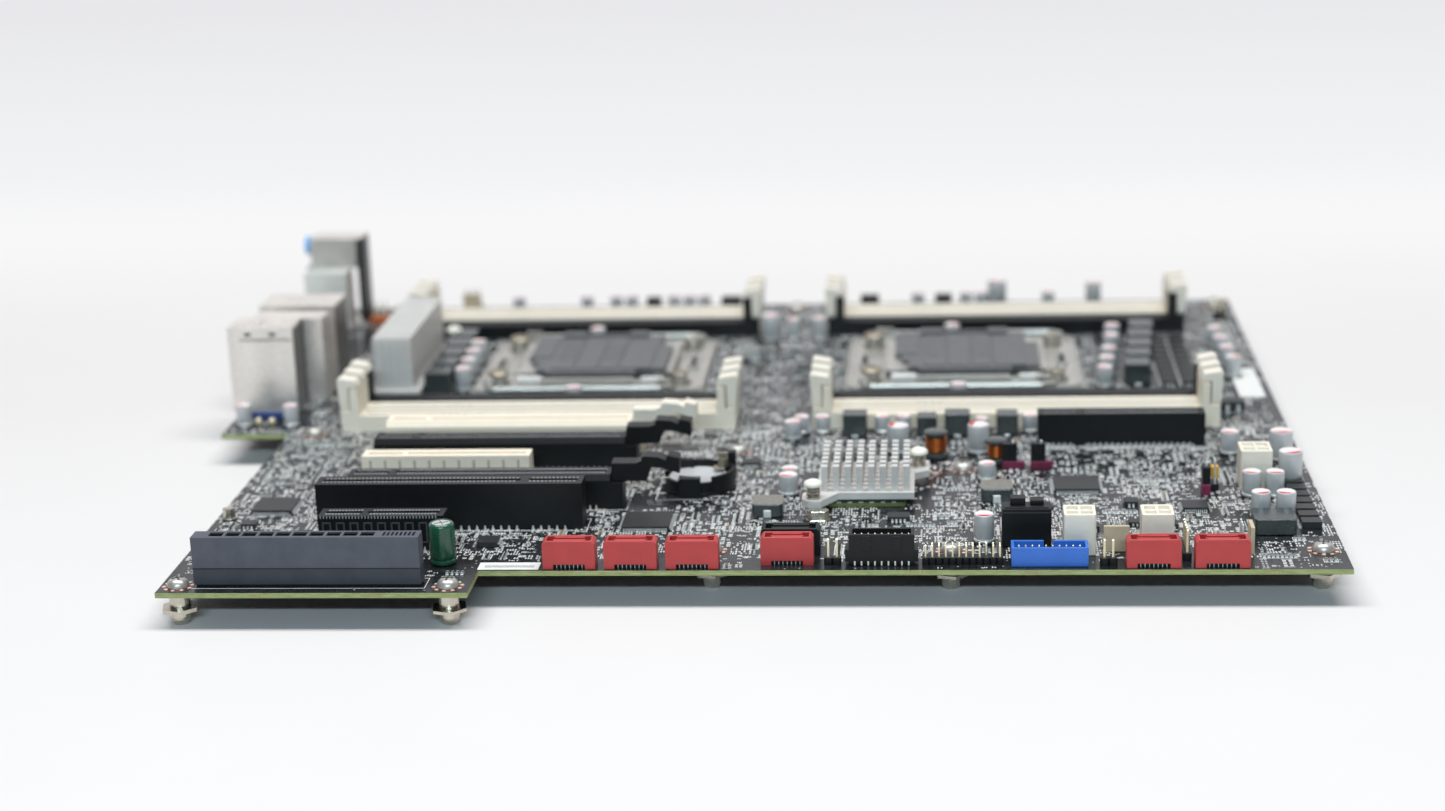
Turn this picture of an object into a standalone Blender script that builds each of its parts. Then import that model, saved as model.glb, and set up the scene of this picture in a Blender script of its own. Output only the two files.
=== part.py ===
"""A two-socket workstation motherboard on its standoffs, built as separate parts.

Sizes are millimetres on the board's own grid: x runs right from the step in the front edge, y runs
back from the front edge to the right of that step, and z runs up from the board's top face.
row_point() turns a point on that grid into metres with the origin under the middle of the board.
"""

import math

import bmesh
import bpy
from mathutils import Matrix, Vector

MM = 0.001
GAP = 0.1  # parts stand this far off each other
COLLECTION = "motherboard"

# Board
BOARD_LEFT = -93.7
BOARD_RIGHT = 258.3
BOARD_BACK = 328.0
TAB_FRONT = -18.6  # front edge of the tab that carries the power connector
IO_TAB_LEFT = -118.3
IO_TAB_FRONT = 142.6
BOARD_THICK = 1.6
HOLE_R = 2.0
HOLES = [
    (-88.2, -12.8), (-6.6, -13.2), (68.9, 17.5), (141.5, 16.5), (251.9, 16.5),
    (-84.1, 142.5), (69.6, 118.5), (146.1, 97.5), (251.9, 122.0),
    (-88.2, 318.0), (79.5, 318.0), (251.9, 318.0),
]
IO_PLANE = -121.5  # all rear connectors end on this plane
STANDOFF_BOTTOM = -11.6
TOP_Z = 37.5

# Memory sockets: a bank is three sockets side by side
SOCKET_PITCH = 10.16
SOCKET_DEEP = 7.6
SOCKET_HIGH = 6.0
HOOK_HALF = 64.3  # half the gap between the two latch hooks
TOWER_OUT = 67.1
TOWER_HIGH = 15.5
CHEEK_OUT = 70.6
CHEEK_HIGH = 7.5
CHEEK_THICK = 1.2
MODULE_HALF = 66.9
MODULE_SLOT = 1.7
MODULE_FLOOR = 2.2
LATCH_OUT = 70.9
LATCH_TOP = 19.5
LATCH_BOTTOM = 0.9
LATCH_PIVOT = (69.3, 2.4)
LATCH_NECK_DEEP = 4.6
LATCH_HEAD_DEEP = 6.4
BANKS = {
    "front_left": (-4.0, 145.0),
    "front_right": (164.8, 145.0),
    "rear_left": (-4.0, 274.0),
    "rear_right": (164.8, 274.0),
}

# Processor sockets
CPUS = {"left": (7.5, 225.0), "right": (147.5, 225.0)}
FRAME_HALF_X = 43.5
FRAME_HALF_Y = 36.0
FRAME_HIGH = 2.0
SEAT_HALF_X = 26.0
SEAT_HALF_Y = 27.0
SEAT_HIGH = 4.0
STUD_X = 34.2
STUD_Y = 25.3
STUD_R = 3.0
STUD_HIGH = 5.6
PLATE_HINGE = (31.0, 4.8)
PLATE_Z = (4.3, 5.3)
COVER_LEFT = -25.6
COVER_RIGHT = 28.2
COVER_HALF_Y = 26.8
COVER_Z = (5.4, 7.0)
LEVER_R = 1.1
LEVER_Z = 3.6
LEVER_PIVOT_X = 36.8
LEVER_SHAFT_Y = 29.8  # the shaft's inner end, clear of the studs
LEVER_ARM_Y = 38.2
LEVER_REACH = 70.0

# Card slots, from the front of the board to the back
SLOT_PITCH = 20.32
SLOT_FIRST_Y = 22.3
SLOT_LEFT = -52.5
SLOT_DEEP = 7.5
SLOT_HIGH = 11.25
X4, X8, X16 = 39.0, 56.2, 89.0
X16_RIDGE = 85.6  # the grooved part; the card latch takes the rest
X16_FOOT = 89.6
X16_FOOT_HIGH = 8.4
SHOULDER_DEEP = 1.2  # a long slot is this much deeper below its sloping shoulder
SHOULDER_HIGH = 9.4
PCI_LEFT = -58.0
PCI_LONG = 84.8
PCI_DEEP = 8.5
PCI_HIGH = 15.0
CARD_GROOVE = 1.8
CARD_PIVOT = (11.0, 9.6)  # a card latch turns here, right of the ridge and above the board
RISER_LEFT = 171.8
RISER_Y = 126.8

# Other parts
POWER = (-83.1, -14.6, -13.5, -7.4, 15.5)  # left, right, front, back, height
POWER_CELLS = 10
POWER_PITCH = 5.08
SIGNAL_CELLS = 8
SIGNAL_PITCH = 1.27
VRM = (-71.6, -57.2, 188.0, 250.0, 23.3)
CHIPSET = (99.2, 130.2, 58.0, 90.0)
CHIPSET_PLATE_Z = (2.8, 5.0)
CHIPSET_PIN_TOP = 13.2
CHIPSET_PINS = (8, 7)
BATTERY = (59.4, 81.0)
BATTERY_R = 11.6


# ---------------------------------------------------------------- helpers

def row_point(x, y, z):
    """A point on the board's grid as metres in the part's frame."""
    middle_x = (IO_PLANE + BOARD_RIGHT) / 2
    middle_y = (TAB_FRONT + BOARD_BACK) / 2
    return Vector((x - middle_x, y - middle_y, z - STANDOFF_BOTTOM)) * MM


def clear_scene():
    for obj in list(bpy.data.objects):
        bpy.data.objects.remove(obj)


def material(name, colour, roughness, metallic=0.0):
    made = bpy.data.materials.new(name)
    made.use_nodes = True
    shader = made.node_tree.nodes["Principled BSDF"]
    shader.inputs["Base Color"].default_value = (*colour, 1.0)
    shader.inputs["Roughness"].default_value = roughness
    shader.inputs["Metallic"].default_value = metallic
    made.diffuse_color = (*colour, 1.0)
    return made


def new_object(name, data, origin, collection):
    obj = bpy.data.objects.new(name, data)
    obj.location = row_point(*origin)
    collection.objects.link(obj)
    return obj


def boxes(name, sizes, origin, collection):
    """One mesh of boxes, each (x0, x1, y0, y1, z0, z1) on the board's grid."""
    bm = bmesh.new()
    for x0, x1, y0, y1, z0, z1 in sizes:
        middle = Vector(((x0 + x1) / 2, (y0 + y1) / 2, (z0 + z1) / 2)) - Vector(origin)
        scale = Matrix.Diagonal(((x1 - x0) * MM, (y1 - y0) * MM, (z1 - z0) * MM, 1.0))
        bmesh.ops.create_cube(bm, size=1.0, matrix=Matrix.Translation(middle * MM) @ scale)
    mesh = bpy.data.meshes.new(name)
    bm.to_mesh(mesh)
    bm.free()
    return new_object(name, mesh, origin, collection)


def cylinders(name, points, radius, z0, z1, origin, collection, steps=24):
    """One mesh of upright cylinders with their axes at the given (x, y) points."""
    bm = bmesh.new()
    for x, y in points:
        middle = (Vector((x, y, (z0 + z1) / 2)) - Vector(origin)) * MM
        bmesh.ops.create_cone(
            bm, cap_ends=True, segments=steps, radius1=radius * MM, radius2=radius * MM,
            depth=(z1 - z0) * MM, matrix=Matrix.Translation(middle),
        )
    mesh = bpy.data.meshes.new(name)
    bm.to_mesh(mesh)
    bm.free()
    return new_object(name, mesh, origin, collection)


def as_mesh(curve_object):
    """Replaces a curve object by the closed mesh it makes, so that it can be cut and joined."""
    bpy.context.view_layer.update()
    depsgraph = bpy.context.evaluated_depsgraph_get()
    mesh = bpy.data.meshes.new_from_object(curve_object.evaluated_get(depsgraph))
    bm = bmesh.new()
    bm.from_mesh(mesh)
    bmesh.ops.remove_doubles(bm, verts=bm.verts, dist=0.005 * MM)
    bmesh.ops.recalc_face_normals(bm, faces=bm.faces)
    bm.to_mesh(mesh)
    bm.free()
    name = curve_object.name
    made = bpy.data.objects.new(name + "_mesh", mesh)
    made.matrix_world = curve_object.matrix_world.copy()
    for collection in curve_object.users_collection:
        collection.objects.link(made)
    bpy.data.objects.remove(curve_object)
    made.name = name
    mesh.name = name
    return made


def flat_curve(name, outlines, thick):
    """A filled 2D curve from closed outlines in millimetres, thick millimetres deep."""
    curve = bpy.data.curves.new(name, "CURVE")
    curve.dimensions = "2D"
    curve.fill_mode = "BOTH"
    curve.extrude = thick / 2 * MM
    for outline in outlines:
        spline = curve.splines.new("POLY")
        spline.points.add(len(outline) - 1)
        for point, (u, v) in zip(spline.points, outline):
            point.co = (u * MM, v * MM, 0.0, 1.0)
        spline.use_cyclic_u = True
    return curve


def side_profile(name, outline, middle_y, deep, origin, collection):
    """An (x, z) outline, seen from the front, made deep millimetres thick along y."""
    shifted = [(x - origin[0], z - origin[2]) for x, z in outline]
    obj = new_object(name, flat_curve(name, [shifted], deep), (origin[0], middle_y, origin[2]), collection)
    obj.rotation_euler = (math.pi / 2, 0.0, 0.0)
    made = as_mesh(obj)
    set_origin(made, origin)
    return made


def flat_plate(name, outline, z0, z1, origin, collection):
    """An (x, y) outline made into a level plate between two heights."""
    curve = flat_curve(name, [outline], z1 - z0)
    made = as_mesh(new_object(name, curve, (0.0, 0.0, (z0 + z1) / 2), collection))
    set_origin(made, origin)
    return made


def long_bar(name, outline, left, right, origin, collection):
    """A counter-clockwise (y, z) outline, seen from the left end, made into a bar along x."""
    count = len(outline)
    points = []
    for x in (left, right):
        points += [(Vector((x, y, z)) - Vector(origin)) * MM for y, z in outline]
    faces = [tuple(reversed(range(count))), tuple(range(count, 2 * count))]
    for i in range(count):
        j = (i + 1) % count
        faces.append((i, j, count + j, count + i))
    mesh = bpy.data.meshes.new(name)
    mesh.from_pydata(points, [], faces)
    bm = bmesh.new()
    bm.from_mesh(mesh)
    bmesh.ops.recalc_face_normals(bm, faces=bm.faces)
    bm.to_mesh(mesh)
    bm.free()
    return new_object(name, mesh, origin, collection)


def set_origin(obj, origin):
    """Moves an object's origin to a point on the board's grid and leaves its surface where it is."""
    bpy.context.view_layer.update()
    target = Matrix.Translation(row_point(*origin))
    obj.data.transform(target.inverted() @ obj.matrix_world)
    obj.matrix_world = target


def boolean(target, operand, operation):
    modifier = target.modifiers.new(operation.lower(), "BOOLEAN")
    modifier.operation = operation
    modifier.solver = "EXACT"
    modifier.object = operand
    operand.hide_render = True
    operand.display_type = "WIRE"


def paint(obj, made):
    obj.data.materials.clear()
    obj.data.materials.append(made)
    return obj


def circle(x, y, radius, steps=20):
    turn = 2 * math.pi / steps
    return [(x + radius * math.cos(i * turn), y + radius * math.sin(i * turn)) for i in range(steps)]


# ---------------------------------------------------------------- board

def make_board(parts, finish):
    outline = [
        (BOARD_LEFT, TAB_FRONT), (0.0, TAB_FRONT), (0.0, 0.0), (BOARD_RIGHT, 0.0),
        (BOARD_RIGHT, BOARD_BACK), (IO_TAB_LEFT, BOARD_BACK), (IO_TAB_LEFT, IO_TAB_FRONT),
        (BOARD_LEFT, IO_TAB_FRONT),
    ]
    holes = [circle(x, y, HOLE_R, 16) for x, y in HOLES]
    curve = flat_curve("pcb", [outline] + holes, BOARD_THICK)
    board = new_object("pcb", curve, (0.0, 0.0, -BOARD_THICK / 2), parts)
    paint(as_mesh(board), finish)


def make_standoff(name, x, y, parts, tools, finish):
    """A turned foot: a shank under the board, a six-sided flange and a domed end with a flat tip."""
    shank, tip = 3.1, 1.6
    dome_top = -9.0
    profile = [(0.0, -BOARD_THICK - GAP), (shank, -BOARD_THICK - GAP), (shank, dome_top)]
    for step in range(1, 5):
        angle = math.radians(90 * step / 5)
        radius = tip + (shank - tip) * math.cos(angle)
        profile.append((radius, dome_top + (STANDOFF_BOTTOM - dome_top) * math.sin(angle)))
    profile += [(tip, STANDOFF_BOTTOM), (0.0, STANDOFF_BOTTOM)]
    mesh = bpy.data.meshes.new(name)
    points = [(r * MM, 0.0, z * MM) for r, z in profile]
    mesh.from_pydata(points, [(i, i + 1) for i in range(len(points) - 1)], [])
    obj = new_object(name, mesh, (x, y, 0.0), parts)
    turn = obj.modifiers.new("turn", "SCREW")
    turn.axis = "Z"
    turn.steps = 24
    turn.render_steps = 24
    turn.use_merge_vertices = True
    turn.merge_threshold = 0.00001
    flange_r, flange_low, flange_high = 5.8, -7.3, -6.1
    first_corner = math.radians(-76)
    corners = []
    for i in range(6):
        angle = first_corner + i * math.pi / 3
        corners.append((x + flange_r * math.cos(angle), y + flange_r * math.sin(angle)))
    flange = flat_plate(name + "_flange", corners, flange_low, flange_high, (x, y, 0.0), tools)
    boolean(obj, flange, "UNION")
    paint(obj, finish)


# ---------------------------------------------------------------- memory

def socket_outline(middle_x):
    """A memory socket from the front: low body, an end tower each side, a low cheek outside each."""
    right = [
        (CHEEK_OUT, GAP), (CHEEK_OUT, CHEEK_HIGH), (TOWER_OUT, CHEEK_HIGH), (TOWER_OUT, TOWER_HIGH),
        (HOOK_HALF, TOWER_HIGH), (HOOK_HALF, SOCKET_HIGH),
    ]
    left = [(-x, z) for x, z in reversed(right)]
    return [(middle_x + x, z) for x, z in right + left]


def make_bank(name, middle_x, front_y, parts, tools, finish):
    """Three sockets, joined near the board by two thin ties because a bank is one part."""
    middles = [front_y + SOCKET_DEEP / 2 + i * SOCKET_PITCH for i in range(3)]
    origin = (middle_x, middles[1], 0.0)
    outline = socket_outline(middle_x)
    bank = side_profile(name, outline, middles[0], SOCKET_DEEP, origin, parts)
    for y in middles[1:]:
        other = side_profile(f"{name}_socket_at_{y:.0f}", outline, y, SOCKET_DEEP, origin, tools)
        boolean(bank, other, "UNION")
    tie_half = 1.0
    ties = []
    for x in (middle_x - 32, middle_x + 32):
        ties.append((x - tie_half, x + tie_half, middles[0], middles[2], 0.4, 1.6))
    boolean(bank, boxes(name + "_ties", ties, origin, tools), "UNION")
    pockets = []
    for y in middles:
        half = MODULE_SLOT / 2
        left, right = middle_x - MODULE_HALF, middle_x + MODULE_HALF
        pockets.append((left, right, y - half, y + half, MODULE_FLOOR, 20.0))
        half = SOCKET_DEEP / 2 - CHEEK_THICK
        for side in (-1, 1):
            near, far = sorted((middle_x + side * TOWER_OUT, middle_x + side * (CHEEK_OUT + 2)))
            pockets.append((near, far, y - half, y + half, -1.0, 12.0))
    boolean(bank, boxes(name + "_pockets", pockets, origin, tools), "DIFFERENCE")
    paint(bank, finish)


def make_module_latch(name, middle_x, y, side, parts, tools, finish):
    """The lever at one end of a memory socket: a neck between the cheeks and a hook over the tower."""
    pivot_x, pivot_z = LATCH_PIVOT
    origin = (middle_x + side * pivot_x, y, pivot_z)
    inner = TOWER_OUT + 0.6
    head_bottom = TOWER_HIGH + 0.6
    neck_top = LATCH_TOP - 1.0
    neck = [(inner, LATCH_BOTTOM), (LATCH_OUT, LATCH_BOTTOM), (LATCH_OUT, neck_top), (inner, neck_top)]
    head = [
        (inner, CHEEK_HIGH + 1.0), (LATCH_OUT, CHEEK_HIGH + 1.0), (LATCH_OUT + 0.6, head_bottom + 1.0),
        (LATCH_OUT + 0.6, LATCH_TOP - 0.4), (LATCH_OUT - 0.4, LATCH_TOP), (HOOK_HALF + 0.8, LATCH_TOP - 0.9),
        (HOOK_HALF, head_bottom + 0.5), (HOOK_HALF + 0.6, head_bottom), (inner, head_bottom),
    ]
    neck = [(middle_x + side * x, z) for x, z in neck]
    head = [(middle_x + side * x, z) for x, z in head]
    latch = side_profile(name, head, y, LATCH_HEAD_DEEP, origin, parts)
    shank = side_profile(name + "_neck", neck, y, LATCH_NECK_DEEP, origin, tools)
    boolean(latch, shank, "UNION")
    paint(latch, finish)


# ---------------------------------------------------------------- processor sockets

def make_cpu(name, middle, parts, tools, finishes):
    x, y = middle
    origin = (x, y, 0.0)
    frame = boxes(
        name + "_frame",
        [(x - FRAME_HALF_X, x + FRAME_HALF_X, y - FRAME_HALF_Y, y + FRAME_HALF_Y, GAP, FRAME_HIGH)],
        origin, parts,
    )
    seat = boxes(
        name + "_seat",
        [(x - SEAT_HALF_X, x + SEAT_HALF_X, y - SEAT_HALF_Y, y + SEAT_HALF_Y, 1.0, SEAT_HIGH)],
        origin, tools,
    )
    boolean(frame, seat, "UNION")
    corners = [(x + i * STUD_X, y + j * STUD_Y) for i in (-1, 1) for j in (-1, 1)]
    boolean(frame, cylinders(name + "_studs", corners, STUD_R, 1.0, STUD_HIGH, origin, tools, 20), "UNION")
    half_x, half_y = SEAT_HALF_X - 4.0, SEAT_HALF_Y - 4.0
    pocket = boxes(name + "_pocket", [(x - half_x, x + half_x, y - half_y, y + half_y, 2.6, 9.0)], origin, tools)
    boolean(frame, pocket, "DIFFERENCE")
    paint(frame, finishes["steel"])
    make_load_plate(name, middle, parts, tools, finishes)
    make_lever(name + "_lever_front", middle, -1, parts, finishes["steel"])
    make_lever(name + "_lever_rear", middle, 1, parts, finishes["steel"])


def make_load_plate(name, middle, parts, tools, finishes):
    """The plate over the processor turns on its right edge; the ribbed dust cover clips on top."""
    x, y = middle
    hinge = (x + PLATE_HINGE[0], y, PLATE_HINGE[1])
    half_y = 21.4  # clear of the studs as the plate swings
    plate = boxes(
        name + "_load_plate",
        [(x - 29.5, x + PLATE_HINGE[0], y - half_y, y + half_y, *PLATE_Z)],
        hinge, parts,
    )
    window = boxes(
        name + "_window",
        [(x - 19.0, x + 19.0, y - 16.0, y + 16.0, 0.0, 12.0)],
        hinge, tools,
    )
    boolean(plate, window, "DIFFERENCE")
    paint(plate, finishes["steel"])
    left, right = x + COVER_LEFT, x + COVER_RIGHT
    front, back = y - COVER_HALF_Y, y + COVER_HALF_Y
    low, high = COVER_Z
    outline = [
        (left + 5.0, front + 3.0), (left + 9.0, front + 3.0), (left + 9.0, front), (right - 10.5, front),
        (right - 10.5, front + 4.0), (right, front + 4.0), (right, back - 16.0), (right - 4.3, back - 16.0),
        (right - 4.3, back), (left, back), (left, front + 20.0), (left + 2.6, front + 20.0),
        (left + 2.6, front + 13.0), (left + 5.0, front + 13.0),
    ]
    cover = flat_plate(name + "_cover", outline, low, high, hinge, parts)
    paint(cover, finishes["black"])


def make_lever(name, middle, side, parts, finish):
    """A bent rod: its shaft lies on the hinge axis and its arm runs along the frame's edge."""
    x, y = middle
    pivot = (x + side * LEVER_PIVOT_X, y, LEVER_Z)
    arm = side * LEVER_ARM_Y
    path = [
        (0.0, side * LEVER_SHAFT_Y, 0.0), (0.0, arm - side * 2.5, 0.0), (-side * 0.8, arm - side * 0.7, 0.0),
        (-side * 2.6, arm, 0.0), (-side * (LEVER_REACH - 5), arm, 0.0),
        (-side * (LEVER_REACH - 2.5), arm + side * 0.6, 0.7), (-side * LEVER_REACH, arm + side * 2.2, 1.0),
    ]
    curve = bpy.data.curves.new(name, "CURVE")
    curve.dimensions = "3D"
    curve.bevel_depth = LEVER_R * MM
    curve.bevel_resolution = 2
    curve.use_fill_caps = True
    spline = curve.splines.new("POLY")
    spline.points.add(len(path) - 1)
    for point, place in zip(spline.points, path):
        point.co = (*(value * MM for value in place), 1.0)
    rod = as_mesh(new_object(name, curve, pivot, parts))
    rod.data.shade_smooth()
    paint(rod, finish)


# ---------------------------------------------------------------- card slots

def make_slot(name, left, middle_y, long, deep, high, keys, latched, parts, tools, finish):
    """A card slot: a bar with a groove for the card's edge, solid between the grooves at each key.

    A latched slot has a sloping shoulder in front and ends in a lower foot under its latch.
    """
    front, back = middle_y - deep / 2, middle_y + deep / 2
    origin = (left, middle_y, 0.0)
    if latched:
        step = front - SHOULDER_DEEP
        outline = [(step, GAP), (back, GAP), (back, high), (front, high), (step, SHOULDER_HIGH)]
        slot = long_bar(name, outline, left, left + X16_RIDGE, origin, parts)
        foot = [(left + X16_RIDGE - 1, left + X16_FOOT, step, back, GAP, X16_FOOT_HIGH)]
        boolean(slot, boxes(name + "_foot", foot, origin, tools), "UNION")
        long = X16_RIDGE
    else:
        slot = boxes(name, [(left, left + long, front, back, GAP, high)], origin, parts)
    grooves = []
    start = 1.6
    for key in list(keys) + [None]:
        end = long - 1.6 if key is None else key[0]
        half = CARD_GROOVE / 2
        grooves.append((left + start, left + end, middle_y - half, middle_y + half, 3.0, high + 3))
        start = None if key is None else key[1]
    boolean(slot, boxes(name + "_grooves", grooves, origin, tools), "DIFFERENCE")
    paint(slot, finish)


def make_card_latch(name, slot_left, y, parts, finish):
    """The lever on the end of a long slot: a hook block over the slot's foot and a raised thumb tab."""
    ridge = slot_left + X16_RIDGE
    origin = (ridge + CARD_PIVOT[0], y, CARD_PIVOT[1])
    outline = [
        (0.2, 8.6), (11.6, 8.8), (12.4, 11.0), (13.4, 13.2), (16.4, 13.1), (22.3, 11.2), (22.3, 16.2),
        (18.4, 17.0), (18.1, 15.5), (15.6, 16.6), (11.2, 16.9), (10.2, 16.6), (10.2, 15.4), (8.2, 14.7),
        (0.5, 14.7),
    ]
    placed = [(ridge + x, z) for x, z in outline]
    paint(side_profile(name, placed, y, 6.0, origin, parts), finish)


# ---------------------------------------------------------------- other parts

def make_power_connector(parts, tools, finish):
    left, right, front, back, high = POWER
    origin = (left, front, 0.0)
    body = boxes("power_connector", [(left, right, front, back, 0.8, high)], origin, parts)
    foot = boxes("power_foot", [(left + 0.6, right - 0.6, front + 1.2, back - 0.6, GAP, 1.2)], origin, tools)
    boolean(body, foot, "UNION")
    cells = []
    for i in range(POWER_CELLS):
        start = left + 5.0 + i * POWER_PITCH
        cells.append((start, start + POWER_PITCH - 0.9, front + 1.6, back - 1.1, 4.0, high + 2))
    for i in range(SIGNAL_CELLS):
        start = left + 5.0 + POWER_CELLS * POWER_PITCH + 1.6 + i * SIGNAL_PITCH
        cells.append((start, start + SIGNAL_PITCH - 0.55, front + 1.6, back - 1.1, 4.0, high + 2))
    boolean(body, boxes("power_cells", cells, origin, tools), "DIFFERENCE")
    paint(body, finish)


def make_vrm_heatsink(parts, tools, finish):
    left, right, front, back, high = VRM
    origin = (left, front, 0.0)
    block = boxes("vrm_heatsink", [(left, right, front, back, 3.0, high)], origin, parts)
    near, far, low_y, high_y = left - 2.2, right + 2.6, front - 1.6, back + 1.6
    outline = [
        (near, low_y), (far, low_y), (far, back - 3.0), (far + 3.6, back), (far + 3.6, back + 12.0),
        (far - 2.4, back + 12.0), (far - 2.4, high_y), (near, high_y), (near, front + 10.0),
        (near - 6.0, front + 9.0), (near - 6.0, front + 1.0), (near, front),
    ]
    boolean(block, flat_plate("vrm_flange", outline, 1.8, 3.4, origin, tools), "UNION")
    paint(block, finish)


def make_chipset_heatsink(parts, tools, finish):
    left, right, front, back = CHIPSET
    origin = (left, front, 0.0)
    low, high = CHIPSET_PLATE_Z
    rear_ear = [
        (right, back - 12.0), (right + 4.8, back - 8.5), (right + 4.8, back + 1.5), (right - 1.5, back + 3.5),
    ]
    front_ear = [
        (left, front + 6.0), (left - 4.4, front - 0.5), (left - 4.4, front - 6.0), (left - 2.4, front - 8.4),
        (left + 1.6, front - 8.4), (left + 7.0, front),
    ]
    outline = [(right, front)] + rear_ear + [(right - 6.0, back), (left, back)] + front_ear
    plate = flat_plate("chipset_heatsink", outline, low, high, origin, parts)
    columns, rows = CHIPSET_PINS
    pin_x, pin_y = 2.0, 2.6
    step_x = (right - left - 3.0 - pin_x) / (columns - 1)
    step_y = (back - front - 3.0 - pin_y) / (rows - 1)
    pins = []
    for i in range(columns):
        for j in range(rows):
            x = left + 1.5 + i * step_x
            y = front + 1.5 + j * step_y
            pins.append((x, x + pin_x, y, y + pin_y, high - 0.5, CHIPSET_PIN_TOP))
    boolean(plate, boxes("chipset_pins", pins, origin, tools), "UNION")
    paint(plate, finish)


def make_battery_holder(parts, tools, finish):
    x, y = BATTERY
    origin = (x, y, 0.0)
    ring = cylinders("battery_holder", [(x, y)], BATTERY_R, GAP, 4.6, origin, parts, 40)
    front_block = [(x - 5.4, x + 1.6, y - 13.0, y - 8.6, GAP, 6.6)]
    boolean(ring, boxes("battery_front_block", front_block, origin, tools), "UNION")
    pocket = cylinders("battery_pocket", [(x, y)], BATTERY_R - 1.3, 1.4, 9.0, origin, tools, 40)
    boolean(ring, pocket, "DIFFERENCE")
    mouth = boxes("battery_mouth", [(x - 16, x - 8, y - 5, y + 2, 2.6, 9.0)], origin, tools)
    boolean(ring, mouth, "DIFFERENCE")
    paint(ring, finish)


def make_rear_connectors(parts, tools, finish):
    """Shielded stacks along the left edge; their openings face left, out of the computer."""
    front_stack = [(IO_PLANE, -97.2, 171.5, 187.0, GAP, 32.0)]
    stack = boxes("io_stack_front", front_stack, (IO_PLANE, 171.5, 0.0), parts)
    back_size = [(-116.0, -89.6, 186.0, 197.6, GAP, 31.6)]
    back_half = boxes("io_stack_front_back_half", back_size, (IO_PLANE, 171.5, 0.0), tools)
    boolean(stack, back_half, "UNION")
    mouths = [
        (IO_PLANE - 1, IO_PLANE + 9, 173.3, 185.2, 18.2, 29.6),
        (IO_PLANE - 1, IO_PLANE + 9, 172.9, 185.6, 9.4, 15.0),
        (IO_PLANE - 1, IO_PLANE + 9, 172.9, 185.6, 1.6, 7.2),
    ]
    boolean(stack, boxes("io_stack_front_mouths", mouths, (IO_PLANE, 171.5, 0.0), tools), "DIFFERENCE")
    paint(stack, finish["shield"])

    middle_size = [(IO_PLANE + 2.2, -90.4, 208.5, 228.5, GAP, 30.8)]
    middle = boxes("io_stack_middle", middle_size, (IO_PLANE, 208.5, 0.0), parts)
    mouths = [
        (IO_PLANE - 1, IO_PLANE + 9, 211.1, 226.7, 16.4, 28.2),
        (IO_PLANE - 1, IO_PLANE + 9, 212.5, 225.3, 8.4, 14.0),
        (IO_PLANE - 1, IO_PLANE + 9, 212.5, 225.3, 1.9, 7.5),
    ]
    boolean(middle, boxes("io_stack_middle_mouths", mouths, (IO_PLANE, 208.5, 0.0), tools), "DIFFERENCE")
    paint(middle, finish["shield"])

    origin = (IO_PLANE, 287.0, 0.0)
    audio = boxes("audio_stack", [(IO_PLANE + 0.9, -98.8, 297.0, 309.0, GAP, TOP_Z)], origin, parts)
    window = boxes("audio_window", [(-106.0, -101.0, 290.0, 315.0, 2.0, 29.8)], origin, tools)
    boolean(audio, window, "DIFFERENCE")
    low_front = boxes("audio_low_front", [(IO_PLANE, -103.8, 287.0, 298.0, 0.4, 25.0)], origin, tools)
    boolean(audio, low_front, "UNION")
    bores = [(IO_PLANE - 1, IO_PLANE + 12, 300.9, 305.1, z - 2.1, z + 2.1) for z in (8.6, 21.1, 33.6)]
    boolean(audio, boxes("audio_mouths", bores, origin, tools), "DIFFERENCE")
    paint(audio, finish["shield"])


# ---------------------------------------------------------------- assembly

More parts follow.
